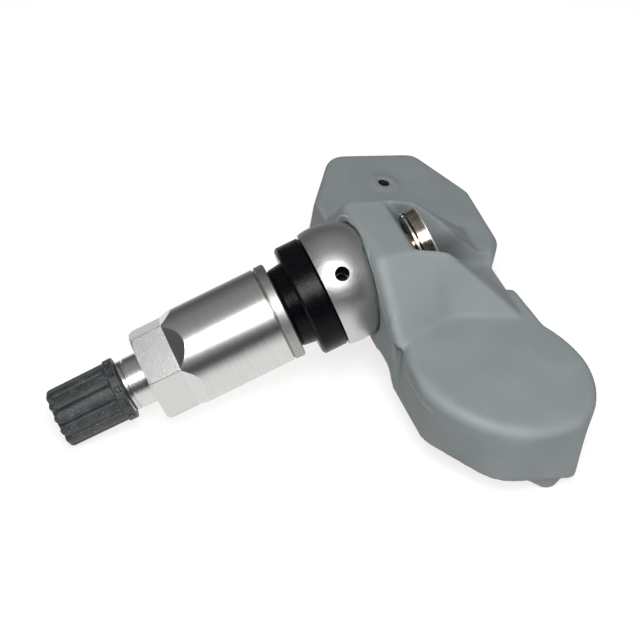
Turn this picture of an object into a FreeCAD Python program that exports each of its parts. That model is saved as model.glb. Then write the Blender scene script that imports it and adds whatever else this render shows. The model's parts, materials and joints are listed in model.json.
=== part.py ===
import FreeCAD, Part
import Sketcher
import math
import os

# Tyre pressure sensor with an aluminium clamp-in valve, millimetres, +Z up from the table it lies on.
# X runs along the floor from the valve cap towards the housing, Y along the housing.
#
# Two local frames are used. The valve frame has its Z along the valve, towards the cap, and its
# origin on a datum plane behind the fixing screw. The housing frame has its origin in the middle of
# the ball joint, Z square to the face of the lobes, X away from the valve and Y along the housing.

SIZES = (
    # joint between valve and housing
    ("swivel_angle", 30.0),        # between the valve and the face of the lobes
    ("ball_radius", 8.5),
    ("seat_gap", 0.1),             # running gap of the ball in its seat
    ("swivel_down", 10.0),         # degrees that the valve can straighten from the angle drawn
    ("swivel_up", 4.0),            # degrees that it can bend further
    ("pivot", 20.0),               # ball centre above the datum plane of the valve frame
    # valve stem, from the ball towards the cap
    ("ball_back", 7.2),            # flat back of the ball behind its centre
    ("dome_step", 0.25),           # dome edge below the ball's radius
    ("dome_front", 1.8),           # face that carries the grommet, before the ball centre
    ("boss_radius", 4.6),
    ("boss_length", 3.0),
    ("shank_radius", 3.66),
    ("shank_reveal", 2.7),         # plain shank left bare between nut and tip
    ("tip_radius", 3.6),
    ("tip_length", 8.8),
    ("tip_groove", 0.25),
    ("tip_chamfer", 0.5),
    ("core_bore", 2.65),
    ("air_bore", 1.8),
    ("air_floor", 2.2),            # end of the air bore behind the ball centre
    ("cross_hole_radius", 1.0),
    ("cross_hole_back", 1.0),      # cross hole behind the ball centre
    ("cross_hole_turn", 49.0),     # degrees about the valve
    # rubber grommet, washer and union nut
    ("flange_radius", 8.0),
    ("flange_thickness", 3.8),
    ("neck_radius", 5.95),
    ("neck_length", 2.2),
    ("neck_lead", 0.45),
    ("rubber_edge", 0.35),
    ("washer_radius", 6.9),
    ("washer_thickness", 1.5),
    ("turning_gap", 0.08),         # radial running gap on the shank
    ("nut_radius", 6.85),
    ("nut_length", 14.5),          # sleeve with the run-out of the flats
    ("hex_length", 4.7),
    ("hex_across_flats", 12.0),
    ("hex_corner", 6.93),
    ("hex_chamfer", 0.6),
    ("flat_run_out", 23.0),        # degrees between a flat's run-out and the valve
    ("nut_turn", -26.9),           # degrees about the valve, as it was tightened
    # cap
    ("cap_gap", 0.85),             # cap mouth beyond the end of the plain shank
    ("cap_length", 10.15),
    ("cap_radius", 4.25),
    ("cap_end_radius", 4.15),
    ("cap_collar_radius", 4.5),
    ("cap_collar_length", 1.35),
    ("cap_edge", 0.6),
    ("cap_bore", 3.68),
    ("cap_top", 1.1),
    ("cap_flutes", 12),
    ("flute_radius", 0.42),
    ("flute_depth", 0.3),
    ("collar_notch_width", 0.9),   # shallow pockets round the collar
    ("collar_notch_length", 0.7),
    ("collar_notch_depth", 0.25),
    ("cap_seal_radius", 3.4),
    ("cap_seal_thickness", 1.0),
    ("cap_seal_gap", 0.05),        # play between the seal and the roof of the cap
    # valve core
    ("core_head_radius", 2.55),
    ("core_head_length", 2.2),
    ("core_radius", 2.0),
    ("core_length", 8.2),
    ("core_depth", 0.5),           # core head below the mouth of the stem
    ("core_chamber", 1.4),
    ("core_foot", 2.6),
    ("gasket_thickness", 1.1),
    ("gasket_height", 3.6),
    ("pin_radius", 0.55),
    ("pin_gap", 0.06),
    ("pin_cup_radius", 1.5),
    ("pin_cup_thickness", 0.9),
    ("pin_seal_thickness", 0.6),
    ("pin_collar_radius", 1.25),
    ("pin_collar_drop", 1.3),      # spring collar below the core head's face
    ("pin_drop", 0.3),             # pin top below the mouth of the stem
    ("spring_wire", 0.14),
    ("spring_turns", 6),
    # fixing screw and its lock washer
    ("screw_radius", 2.0),
    ("screw_bore", 2.05),
    ("screw_bore_depth", 4.3),     # from the back of the ball
    ("screw_reach", 3.2),          # how far the screw stands in the ball
    ("screw_head_radius", 4.75),
    ("screw_head_height", 1.5),
    ("screw_head_crown", 0.35),
    ("screw_head_bevel", 0.4),
    ("screw_undercut", 0.5),
    ("screw_drive_radius", 1.7),
    ("screw_drive_depth", 1.3),
    ("lock_radius", 5.35),
    ("lock_thickness", 0.7),
    ("lock_bore", 2.15),
    ("lock_teeth", 24),
    ("lock_notch", 0.3),
    # housing, measured in the housing frame
    ("face_height", 1.0),
    ("seam_depth", 2.5),
    ("crown", 1.2),                # rounding of the lobes' upper edge
    ("front_offset", 3.4),         # slanted front behind the ball centre
    ("front_lean", 16.0),
    ("front_edge", 1.0),           # rounding of its upper edge
    ("lobe_length", 31.2),
    ("lobe_shoulder_x", 0.1),
    ("lobe_shoulder_y", 12.7),
    ("lobe_near_x", 10.4),
    ("lobe_far_x", 24.7),
    ("lobe_tip_x", 29.7),
    ("lobe_tip_y", 20.3),
    ("lobe_rear_x", 29.0),
    ("lobe_rear_y", 7.6),
    ("waist_x", 26.2),
    ("waist_y", 3.2),
    ("lobe_corner", 4.0),
    ("lobe_far_corner", 2.5),
    ("pod_x", 16.3),
    ("pod_y", 20.6),
    ("pod_radius", 13.3),
    ("pod_foot_x", 6.1),           # valve side of the pod at the base
    ("pod_foot_y", 32.0),
    ("block_top", 6.1),            # half width of the block on top
    ("flank_top_x", 10.3),         # upper end of the soft corner between the flanks
    ("flank_x", 13.6),             # its lower end, on the face of the lobes
    ("flank_y", 9.6),
    ("flank_spread", 0.5),         # how fast the block widens from there towards the valve
    ("flank_rear", 1.4),           # how much wider it is at its rear end
    ("flank_round", 4.0),
    ("flank_edge", 0.8),
    ("block_front_z", 9.0),
    ("block_crest_x", 8.2),
    ("block_crest_z", 9.8),
    ("ridge_x", 12.4),
    ("ridge_z", 9.2),
    ("ridge_end_x", 25.0),
    ("ridge_end_z", 0.4),
    ("ridge_round", 4.0),
    ("wall_back", 12.0),           # back of the joint's wall, a cylinder about the ball centre
    ("trough_gap", 0.3),           # gap round the lock washer
    ("trough_floor", 0.8),         # floor of the trough below the ball centre
    ("trough_floor_half", 4.0),
    ("trough_top_half", 5.6),
    ("slot_gap", 0.25),
    ("shell_wall", 1.7),
    ("base_wall", 1.6),
    ("foot_near_x", 17.0),
    ("foot_far_x", 23.8),
    ("foot_depth", 4.0),
    ("foot_height", 2.3),
    ("foot_tip_near_x", 20.9),
    ("foot_tip_far_x", 22.6),
    ("foot_tip_depth", 1.8),
    ("foot_round", 0.6),
    ("foot_inset", 0.2),
    ("relief_half", 10.5),         # raised underside beneath the joint
    ("relief_depth", 2.1),
    ("relief_x", 9.5),
    ("port_x", 16.1),
    ("port_inset", 8.6),           # from the end of the lobe
    ("port_radius", 0.8),
    ("port_ring_radius", 2.15),
    ("port_ring_height", 0.3),
    # inside the housing
    ("battery_radius", 10.0),
    ("battery_thickness", 5.0),
    ("battery_can_edge", 0.5),
    ("battery_x", 16.8),
    ("battery_y", 20.3),
    ("recess_radius", 8.3),        # recess under the battery
    ("recess_depth", 1.1),
    ("room_start", 12.5),          # wall between the joint and the electronics, from the middle
    ("tunnel_top", -3.0),
    ("tab_passage", 3.4),
    ("board_thickness", 1.0),
    ("board_gap", 0.3),
    ("board_near_x", 12.8),        # narrow part of the board, beside the joint
    ("board_far_x", 24.0),
    ("post_radius", 1.3),
    ("post_inset", 1.9),
    ("stake_radius", 0.6),
    ("stake_head", 1.0),
    ("stake_rise", 0.4),
    ("tab_width", 3.0),
    ("tab_thickness", 0.25),
    ("chip_length", 7.6),
    ("chip_width", 6.0),
    ("chip_height", 3.0),
    ("port_seal_radius", 2.0),
    ("port_seal_bore", 0.9),
    ("port_seal_height", 0.55),
    ("filter_thickness", 0.25),
    ("coil_gap", 0.8),             # from the wall beside the joint
    ("coil_length", 7.4),
    ("coil_core", 2.0),
    ("coil_winding", 3.0),
    ("coil_winding_length", 5.2),
    ("crystal_y", 6.4),
    ("crystal_length", 3.2),
    ("crystal_width", 2.5),
    ("crystal_height", 0.8),
)


class Length:
    """A number together with the sheet expression that gives it."""

    def __init__(self, number, text):
        self.number = number
        self.text = text

    def __float__(self):
        return float(self.number)

    def __add__(self, other):
        return Length(self.number + float(other), "(" + self.text + " + " + text_of(other) + ")")

    def __sub__(self, other):
        return Length(self.number - float(other), "(" + self.text + " - " + text_of(other) + ")")

    def __mul__(self, other):
        return Length(self.number * float(other), "(" + self.text + " * " + text_of(other) + ")")

    def __truediv__(self, other):
        return Length(self.number / float(other), "(" + self.text + " / " + text_of(other) + ")")

    def __neg__(self):
        return Length(-self.number, "(-" + self.text + ")")


def text_of(item):
    """Expression text of a Length or a plain number."""
    return item.text if isinstance(item, Length) else repr(float(item))


def leg(hypotenuse, side):
    """Other leg of a right triangle."""
    number = math.sqrt(float(hypotenuse) ** 2 - float(side) ** 2)
    return Length(number, "sqrt(" + text_of(hypotenuse) + "^2 - " + text_of(side) + "^2)")


class Sizes:
    """The driving dimensions, kept in a sheet and read back as lengths."""

    def __init__(self, document):
        self.sheet = document.addObject("Spreadsheet::Sheet", "Sizes")
        for row, (name, number) in enumerate(SIZES, start=1):
            self.sheet.set("A%d" % row, name)
            self.sheet.set("B%d" % row, str(number))
            self.sheet.setAlias("B%d" % row, name)
        document.recompute()

    def __getattr__(self, name):
        return Length(float(self.sheet.get(name)), "Sizes." + name)


document = FreeCAD.newDocument("TyrePressureSensor")
size = Sizes(document)
valve_nodes = []
housing_nodes = []


def bind(item, **lengths):
    """Tie properties of an object to sheet expressions."""
    for name, length in lengths.items():
        item.setExpression(name, text_of(length))


def move(item, x=None, y=None, z=None):
    """Tie the position of an object to sheet expressions."""
    for axis, length in (("x", x), ("y", y), ("z", z)):
        if length is not None:
            item.setExpression("Placement.Base." + axis, text_of(length))


def plane_of(body, role):
    """One of a body's own origin planes."""
    return next(item for item in body.Origin.OriginFeatures if item.Role == role)


def fix(sketch, index, point, corner):
    """Hold one end of an edge at a distance from the sketch origin."""
    for kind, length in (("DistanceX", corner[0]), ("DistanceY", corner[1])):
        if kind == "DistanceX" and float(length) == 0.0:
            sketch.addConstraint(Sketcher.Constraint("PointOnObject", index, point, -2))
            continue
        number = sketch.addConstraint(Sketcher.Constraint(kind, -1, 1, index, point, float(length)))
        sketch.setExpression("Constraints[%d]" % number, text_of(length))


def outline(body, name, corners, role="XZ_Plane"):
    """Closed sketch through corners, given in turning order. A corner marked round starts an arc
    that is centred on the vertical axis."""
    sketch = body.newObject("Sketcher::SketchObject", name)
    sketch.AttachmentSupport = (plane_of(body, role), "")
    sketch.MapMode = "FlatFace"
    count = len(corners)
    for index, corner in enumerate(corners):
        start = FreeCAD.Vector(float(corner[0]), float(corner[1]), 0)
        after = corners[(index + 1) % count]
        end = FreeCAD.Vector(float(after[0]), float(after[1]), 0)
        if len(corner) == 2:
            sketch.addGeometry(Part.LineSegment(start, end))
            continue
        rise = (end.x ** 2 - start.x ** 2 + end.y ** 2 - start.y ** 2) / (2 * (end.y - start.y))
        centre = FreeCAD.Vector(0, rise, 0)
        circle = Part.Circle(centre, FreeCAD.Vector(0, 0, 1), start.distanceToPoint(centre))
        turns = [math.atan2(spot.y - rise, spot.x) for spot in (start, end)]
        sketch.addGeometry(Part.ArcOfCircle(circle, turns[0], turns[1]))
        sketch.addConstraint(Sketcher.Constraint("PointOnObject", index, 3, -2))
    for index, corner in enumerate(corners):
        sketch.addConstraint(Sketcher.Constraint("Coincident", index, 2, (index + 1) % count, 1))
        fix(sketch, index, 1, corner)
    return sketch


def turned(name, corners):
    """Body turned about its own Z axis from an outline of radius and height."""
    body = document.addObject("PartDesign::Body", name + "_turned")
    sketch = outline(body, name + "_profile", corners)
    revolution = body.newObject("PartDesign::Revolution", name + "_turning")
    revolution.Profile = sketch
    revolution.ReferenceAxis = (sketch, ["V_Axis"])
    revolution.Angle = 360
    sketch.Visibility = False
    return body


def pattern_round(body, feature, count):
    """Repeat a feature of a body round its Z axis."""
    pattern = body.newObject("PartDesign::PolarPattern", feature.Name + "_pattern")
    pattern.Originals = [feature]
    pattern.Axis = (plane_of(body, "Z_Axis"), [""])
    pattern.Angle = 360
    bind(pattern, Occurrences=count)
    body.Tip = pattern
    return pattern


def cylinder(name, radius, height, x=None, y=None, z=None):
    item = document.addObject("Part::Cylinder", name)
    bind(item, Radius=radius, Height=height)
    move(item, x, y, z)
    return item


def cut(name, base, tool):
    item = document.addObject("Part::Cut", name)
    item.Base = base
    item.Tool = tool
    return item


def node(item, label, group):
    """Name a finished sub-part and list it with its frame."""
    item.Label = label
    group.append(item)
    return item


# Heights along the valve, above the datum plane
dome_face = size.pivot + size.dome_front
flange_face = dome_face + size.flange_thickness
neck_face = flange_face + size.neck_length
washer_face = neck_face + size.washer_thickness
hex_face = washer_face + size.nut_length
nut_face = hex_face + size.hex_length
shank_end = nut_face + size.shank_reveal
stem_end = shank_end + size.tip_length
cap_mouth = shank_end + size.cap_gap
cap_end = cap_mouth + size.cap_length
core_top = stem_end - size.core_depth
core_bottom = core_top - size.core_length
shank_fit = size.shank_radius + size.turning_gap
ball_back = size.pivot - size.ball_back
lock_face = size.pivot - size.wall_back - size.seat_gap
head_face = lock_face - size.lock_thickness


def valve_stem():
    screw_floor = ball_back + size.screw_bore_depth
    air_floor = size.pivot - size.air_floor
    ball_rim = leg(size.ball_radius, size.ball_back)
    dome_radius = size.ball_radius - size.dome_step
    dome_rim = size.pivot - leg(size.ball_radius, dome_radius)
    boss_face = dome_face + size.boss_length
    groove = size.tip_radius - size.tip_groove
    seat_rise = size.core_bore - size.air_bore
    body = turned("stem", [
        (Length(0.0, "0"), screw_floor),
        (size.screw_bore, screw_floor),
        (size.screw_bore, ball_back),
        (ball_rim, ball_back, "round"),
        (dome_radius, dome_rim),
        (dome_radius, dome_face),
        (size.boss_radius, dome_face),
        (size.boss_radius, boss_face),
        (size.shank_radius, boss_face),
        (size.shank_radius, shank_end),
        (groove, shank_end),
        (groove, shank_end + size.tip_groove),
        (size.tip_radius, shank_end + size.tip_groove),
        (size.tip_radius, stem_end - size.tip_chamfer),
        (size.tip_radius - size.tip_chamfer, stem_end),
        (size.core_bore, stem_end),
        (size.core_bore, core_bottom + seat_rise),
        (size.air_bore, core_bottom),
        (size.air_bore, air_floor),
        (Length(0.0, "0"), air_floor),
    ])
    drill = cylinder("cross_drill", size.cross_hole_radius, size.ball_radius * 2,
                     z=size.pivot - size.cross_hole_back)
    tilt = FreeCAD.Rotation(FreeCAD.Vector(0, 0, 1), float(size.cross_hole_turn) - 90)
    drill.Placement.Rotation = tilt.multiply(FreeCAD.Rotation(FreeCAD.Vector(0, 1, 0), 90))
    node(cut("stem_drilled", body, drill), "valve_stem", valve_nodes)


def rubber_grommet():
    edge = size.rubber_edge
    boss_face = dome_face + size.boss_length
    body = turned("grommet", [
        (size.boss_radius, dome_face),
        (size.flange_radius - edge, dome_face),
        (size.flange_radius, dome_face + edge),
        (size.flange_radius, flange_face - edge),
        (size.flange_radius - edge, flange_face),
        (size.neck_radius, flange_face),
        (size.neck_radius - size.neck_lead / 2, neck_face - size.neck_lead),
        (size.neck_radius - size.neck_lead, neck_face),
        (size.shank_radius, neck_face),
        (size.shank_radius, boss_face),
        (size.boss_radius, boss_face),
    ])
    node(body, "rubber_grommet", valve_nodes)


def nut_washer():
    edge = size.rubber_edge / 2
    body = turned("washer", [
        (shank_fit, neck_face),
        (size.washer_radius - edge, neck_face),
        (size.washer_radius, neck_face + edge),
        (size.washer_radius, washer_face - edge),
        (size.washer_radius - edge, washer_face),
        (shank_fit, washer_face),
    ])
    node(body, "nut_washer", valve_nodes)


def collar_nut():
    """Sleeve nut: a turned blank whose six flats run out into the sleeve."""
    body = turned("nut", [
        (shank_fit, washer_face),
        (size.nut_radius - size.hex_chamfer / 2, washer_face),
        (size.nut_radius, washer_face + size.hex_chamfer / 2),
        (size.nut_radius, hex_face),
        (size.hex_corner, hex_face),
        (size.hex_corner, nut_face - size.hex_chamfer),
        (size.hex_corner - size.hex_chamfer, nut_face),
        (shank_fit, nut_face),
    ])
    flat = size.hex_across_flats / 2
    outside = size.hex_corner + 1
    climb = (outside - flat) / math.tan(math.radians(float(size.flat_run_out)))
    sketch = outline(body, "flat_profile", [
        (flat, hex_face),
        (outside, hex_face - climb),
        (outside, nut_face + 1),
        (flat, nut_face + 1),
    ])
    sketch.AttachmentOffset.Rotation = FreeCAD.Rotation(FreeCAD.Vector(0, 1, 0), float(size.nut_turn))
    pocket = body.newObject("PartDesign::Pocket", "flat")
    pocket.Profile = sketch
    pocket.Midplane = True
    bind(pocket, Length=size.hex_corner * 2)
    pattern_round(body, pocket, 6)
    node(body, "collar_nut", valve_nodes)


def valve_cap():
    """Fluted dust cap with a collar at its mouth."""
    collar_end = cap_mouth + size.cap_collar_length
    body = turned("cap", [
        (size.cap_bore, cap_mouth),
        (size.cap_collar_radius, cap_mouth),
        (size.cap_collar_radius, collar_end),
        (size.cap_radius, collar_end),
        (size.cap_end_radius, cap_end - size.cap_edge),
        (size.cap_end_radius - size.cap_edge, cap_end),
        (Length(0.0, "0"), cap_end),
        (Length(0.0, "0"), cap_end - size.cap_top),
        (size.cap_bore, cap_end - size.cap_top),
    ])
    flute = body.newObject("PartDesign::SubtractiveCylinder", "flute")
    bind(flute, Radius=size.flute_radius, Height=size.cap_length)
    middle_x = size.cap_radius + size.flute_radius - size.flute_depth
    move(flute, x=middle_x, z=collar_end + size.flute_radius / 2)
    pattern_round(body, flute, size.cap_flutes)
    collar_notches(body)
    node(body, "valve_cap", valve_nodes)


def collar_notches(body):
    """Shallow pockets round the cap's collar, half a pitch away from the flutes."""
    width = size.collar_notch_width
    inner = size.cap_collar_radius - size.collar_notch_depth
    edge = (size.cap_collar_length - size.collar_notch_length) / 2
    half = math.pi / float(size.cap_flutes)
    notch = body.newObject("PartDesign::SubtractiveBox", "collar_notch")
    bind(notch, Length=size.cap_collar_radius, Width=width, Height=size.collar_notch_length)
    notch.Placement.Rotation = FreeCAD.Rotation(FreeCAD.Vector(0, 0, 1), math.degrees(half))
    x = inner * math.cos(half) + width / 2 * math.sin(half)
    y = inner * math.sin(half) - width / 2 * math.cos(half)
    move(notch, x=x, y=y, z=cap_mouth + edge)
    pattern_round(body, notch, size.cap_flutes)


def cap_seal():
    seat = cap_end - size.cap_top - size.cap_seal_gap
    body = turned("cap_disc", [
        (Length(0.0, "0"), seat - size.cap_seal_thickness),
        (size.cap_seal_radius, seat - size.cap_seal_thickness),
        (size.cap_seal_radius, seat),
        (Length(0.0, "0"), seat),
    ])
    node(body, "cap_seal", valve_nodes)


def valve_core():
    """Screwed-in core: hollow body, outer gasket, pin with its cup, face seal and spring."""
    bore = size.pin_radius + size.pin_gap
    neck = core_top - size.core_head_length
    chamber_floor = core_bottom + size.core_foot
    collar_face = core_top - size.pin_collar_drop
    body = turned("core", [
        (bore, core_bottom),
        (size.air_bore - 0.1, core_bottom),
        (size.core_radius, core_bottom + (size.core_radius - size.air_bore + 0.1)),
        (size.core_radius, neck),
        (size.core_head_radius, neck),
        (size.core_head_radius, core_top),
        (size.core_chamber, core_top),
        (size.core_chamber, chamber_floor),
        (bore, chamber_floor),
    ])
    node(body, "core_body", valve_nodes)
    gasket_foot = core_bottom + size.gasket_height
    gasket = turned("gasket", [
        (size.core_radius, gasket_foot),
        (size.core_bore, gasket_foot),
        (size.core_bore, gasket_foot + size.gasket_thickness),
        (size.core_radius, gasket_foot + size.gasket_thickness),
    ])
    node(gasket, "core_gasket", valve_nodes)
    cup_face = core_bottom - size.pin_seal_thickness
    cup_foot = cup_face - size.pin_cup_thickness
    collar_foot = collar_face - size.pin_radius
    pin = turned("pin", [
        (Length(0.0, "0"), cup_foot),
        (size.pin_cup_radius, cup_foot),
        (size.pin_cup_radius, cup_face),
        (size.pin_radius, cup_face),
        (size.pin_radius, collar_foot),
        (size.pin_collar_radius, collar_foot),
        (size.pin_collar_radius, collar_face),
        (size.pin_radius, collar_face),
        (size.pin_radius, stem_end - size.pin_drop),
        (Length(0.0, "0"), stem_end - size.pin_drop),
    ])
    node(pin, "core_pin", valve_nodes)
    seal = turned("face_seal", [
        (size.pin_radius, cup_face),
        (size.pin_cup_radius, cup_face),
        (size.pin_cup_radius, core_bottom),
        (size.pin_radius, core_bottom),
    ])
    node(seal, "core_seal", valve_nodes)
    core_spring(chamber_floor, collar_foot)


def core_spring(foot, top):
    wire = float(size.spring_wire)
    turns = float(size.spring_turns)
    radius = (float(size.pin_radius) + float(size.core_chamber)) / 2
    rise = float(top) - float(foot) - 2 * wire
    path = Part.makeHelix(rise / turns, rise, radius)
    corners = []
    for index in range(7):
        angle = index * math.pi / 3
        corners.append(FreeCAD.Vector(radius + wire * math.cos(angle), 0, wire * math.sin(angle)))
    coil = Part.Wire(path.Edges).makePipeShell([Part.makePolygon(corners)], True, True)
    lift = FreeCAD.Matrix()
    lift.move(FreeCAD.Vector(0, 0, float(foot) + wire))
    coil.transformShape(lift, True)
    item = document.addObject("Part::Feature", "spring_coil")
    item.Shape = coil
    node(item, "core_spring", valve_nodes)


def fixing_screw():
    crown = size.screw_head_crown
    head_back = head_face - size.screw_head_height
    body = turned("screw", [
        (Length(0.0, "0"), head_back - crown),
        (size.screw_drive_radius * 1.4, head_back - crown),
        (size.screw_head_radius - size.screw_head_bevel, head_back),
        (size.screw_head_radius, head_back + size.screw_head_bevel),
        (size.screw_head_radius, head_face - size.screw_head_bevel),
        (size.screw_head_radius - size.screw_undercut, head_face),
        (size.screw_radius, head_face),
        (size.screw_radius, ball_back + size.screw_reach - size.screw_head_bevel),
        (size.screw_radius - size.screw_head_bevel, ball_back + size.screw_reach),
        (Length(0.0, "0"), ball_back + size.screw_reach),
    ])
    recess = body.newObject("PartDesign::SubtractivePrism", "drive_recess")
    recess.Polygon = 6
    bind(recess, Circumradius=size.screw_drive_radius, Height=size.screw_drive_depth + crown)
    move(recess, z=head_back - crown)
    body.Tip = recess
    node(body, "fixing_screw", valve_nodes)


def lock_washer():
    """Serrated washer under the screw head."""
    body = turned("lock", [
        (size.lock_bore, head_face),
        (size.lock_radius, head_face),
        (size.lock_radius, lock_face),
        (size.lock_bore, lock_face),
    ])
    notch = body.newObject("PartDesign::SubtractivePrism", "tooth_gap")
    notch.Polygon = 3
    bind(notch, Circumradius=size.lock_notch, Height=size.lock_thickness)
    move(notch, x=size.lock_radius + size.lock_notch / 4, z=head_face)
    pattern_round(body, notch, size.lock_teeth)
    node(body, "lock_washer", valve_nodes)


def number(name):
    """A size as a plain number, for shapes made with geometry functions."""
    return float(getattr(size, name))


def at(x, y, z):
    return FreeCAD.Vector(x, y, z)


def rounded(corners, z=0.0):
    """Closed flat wire through corners of x, y and rounding radius."""
    edges = []
    starts = []
    ends = []
    for index, (x, y, radius) in enumerate(corners):
        spot = at(x, y, z)
        before = corners[index - 1]
        after = corners[(index + 1) % len(corners)]
        back = (at(before[0], before[1], z) - spot).normalize()
        ahead = (at(after[0], after[1], z) - spot).normalize()
        half = back.getAngle(ahead) / 2
        reach = radius / math.tan(half)
        starts.append(spot + back * reach)
        ends.append(spot + ahead * reach)
        if radius > 0:
            middle = spot + (back + ahead).normalize() * (radius / math.sin(half) - radius)
            edges.append(Part.Arc(starts[-1], middle, ends[-1]).toShape())
    lines = []
    for index in range(len(corners)):
        lines.append(Part.LineSegment(ends[index - 1], starts[index]).toShape())
    return Part.Wire(Part.__sortEdges__(edges + lines))


def prism(corners, bottom, top):
    """Upright prism on a rounded outline."""
    face = Part.Face(rounded(corners, bottom))
    return face.extrude(at(0, 0, top - bottom))


def tilted(shape, degrees, base=None):
    """Shape turned about Y, so that its X axis rises by the angle."""
    turned_shape = shape.copy()
    rotation = FreeCAD.Rotation(at(0, 1, 0), -degrees)
    turned_shape.Placement = FreeCAD.Placement(base or at(0, 0, 0), rotation)
    return turned_shape


def edges_at(shape, height, beyond=None):
    """Edges that lie flat at a height, and on the outer side of a Y value where one is given."""
    found = []
    for edge in shape.Edges:
        bound = edge.BoundBox
        level = abs(bound.ZMin - height) < 1e-4 and abs(bound.ZMax - height) < 1e-4
        outside = beyond is None or min(abs(bound.YMin), abs(bound.YMax)) > beyond
        if level and outside:
            found.append(edge)
    return found


def inside_top():
    """Height of the inner face of the shell."""
    return number("face_height") - number("shell_wall")


def battery_ledge():
    """Height of the ledge that carries the battery."""
    stack = number("battery_thickness") + 2 * number("tab_thickness")
    return inside_top() - stack - number("board_gap")


def room_floor():
    """Height of the inner face of the base."""
    return battery_ledge() - number("recess_depth")


def base_level():
    """Height of the underside of the base."""
    return room_floor() - number("base_wall")


def board_top():
    """Height of the board's upper face, below the chip, the seal and the filter of the port."""
    stack = number("chip_height") + number("port_seal_height") + number("filter_thickness")
    return inside_top() - stack


def board_under():
    return board_top() - number("board_thickness")


def port_spot(height):
    """Point on the axis of the pressure port."""
    return at(number("port_x"), number("lobe_length") - number("port_inset"), height)


def back_lobe():
    """Flat hexagonal lobe that holds the electronics."""
    blank = -number("ball_radius")
    waist = number("waist_x")
    corner = number("lobe_far_corner")
    length = number("lobe_length")
    corners = [
        (blank, 0, 0),
        (blank, number("lobe_shoulder_y") + blank - number("lobe_shoulder_x"), 0),
        (number("lobe_shoulder_x"), number("lobe_shoulder_y"), 0),
        (number("lobe_near_x"), length, number("lobe_corner")),
        (number("lobe_far_x"), length, corner),
        (number("lobe_tip_x"), number("lobe_tip_y"), corner),
        (number("lobe_rear_x"), number("lobe_rear_y"), corner),
        (waist, number("waist_y"), 0),
        (waist, 0, 0),
    ]
    plate = prism(corners, base_level(), number("face_height"))
    rim = edges_at(plate, number("face_height"), number("waist_y"))
    return plate.makeFillet(number("crown"), rim)


def front_lobe():
    """Battery pod: a round top that runs down into a base like the other lobe's."""
    centre = (number("pod_x"), -number("pod_y"))
    base = base_level()
    top = number("face_height")
    foot_x = number("pod_foot_x")
    foot_y = number("pod_foot_y")
    far = number("lobe_far_corner")
    corners = [
        (foot_x, -number("lobe_rear_y"), 1.0),
        (foot_x, -number("lobe_tip_y") - far, number("lobe_corner")),
        (number("lobe_near_x") + far, -foot_y, number("lobe_corner") * 1.5),
        (number("lobe_far_x"), -foot_y - far / 4, far / 2),
        (number("lobe_tip_x") - far / 5, -number("lobe_tip_y"), far),
        (number("lobe_rear_x") - far / 2, -number("lobe_rear_y"), 1.0),
    ]
    lower = rounded(corners, base)
    spots = [vertex.Point for vertex in lower.OrderedVertexes]
    turns = [math.atan2(spot.y - centre[1], spot.x - centre[0]) for spot in spots]
    arcs = []
    for index, turn in enumerate(turns):
        sweep = (turns[(index + 1) % len(turns)] - turn + math.pi) % (2 * math.pi) - math.pi
        ring = []
        for part in (0.0, 0.5, 1.0):
            angle = turn + sweep * part
            x = centre[0] + number("pod_radius") * math.cos(angle)
            y = centre[1] + number("pod_radius") * math.sin(angle)
            ring.append(at(x, y, top))
        arcs.append(Part.Arc(*ring).toShape())
    upper = Part.Wire(arcs)
    lower = Part.Wire(lower.OrderedEdges)
    pod = Part.makeLoft([lower, upper], True, True)
    return pod.makeFillet(number("crown"), edges_at(pod, top))


def middle():
    """Waist between the lobes."""
    blank = -number("ball_radius")
    shoulder = number("lobe_shoulder_y")
    waist = number("waist_x")
    side = leg(size.pod_radius, size.pod_y - size.lobe_shoulder_y)
    corners = [
        (blank, 0, 0),
        (blank, -shoulder, 0),
        (number("pod_x") + float(side), -shoulder, 0),
        (waist, -number("waist_y"), 0),
        (waist, 0, 0),
    ]
    plate = prism(corners, base_level(), number("face_height"))
    rim = [edge for edge in edges_at(plate, number("face_height")) if edge.BoundBox.XMin > waist - 1e-3]
    return plate.makeFillet(number("crown"), rim)


def flank_outline(level):
    """Outline of the block round the joint at one height. Its flanks lean in towards the top."""
    face = number("face_height")
    part = (level - face) / (number("block_crest_z") - face)
    blank = -number("ball_radius")
    rear = number("ridge_end_x")
    crease_x = number("flank_x") + part * (number("flank_top_x") - number("flank_x"))
    top = number("block_top")
    low = number("flank_y")
    wide = low + number("flank_spread") * (number("flank_x") - blank)
    side = [
        (blank, wide + part * (top - wide), 0),
        (crease_x, low + part * (top - low), number("flank_round")),
        (rear, low + number("flank_rear") + part * (top - low - number("flank_rear")), 0),
    ]
    mirrored = [(x, -y, radius) for x, y, radius in reversed(side)]
    return rounded(side + mirrored, level)


def saddle():
    """Raised block round the joint, with ridges that fall away behind it."""
    reach = number("lobe_length")
    blank = -number("ball_radius")
    crest = (number("block_crest_x"), number("block_crest_z"))
    fall = (crest[1] - number("block_front_z")) / crest[0]
    bottom = number("face_height") - number("crown")
    side = [
        (blank, bottom, 0),
        (blank, crest[1] - fall * (crest[0] - blank), 0),
        (crest[0], crest[1], number("crown")),
        (number("ridge_x"), number("ridge_z"), number("ridge_round")),
        (number("ridge_end_x"), number("ridge_end_z"), 0),
        (number("ridge_end_x"), bottom, 0),
    ]
    profile = Part.Face(rounded(side)).extrude(at(0, 0, 2 * reach))
    upright = FreeCAD.Rotation(at(1, 0, 0), 90)
    profile.Placement = FreeCAD.Placement(at(0, reach, 0), upright)
    above = crest[1] + number("crown")
    flanks = Part.makeLoft([flank_outline(bottom), flank_outline(above)], True, True)
    block = flanks.common(profile).removeSplitter()
    return block.makeFillet(number("flank_edge"), flank_edges(block))


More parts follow.
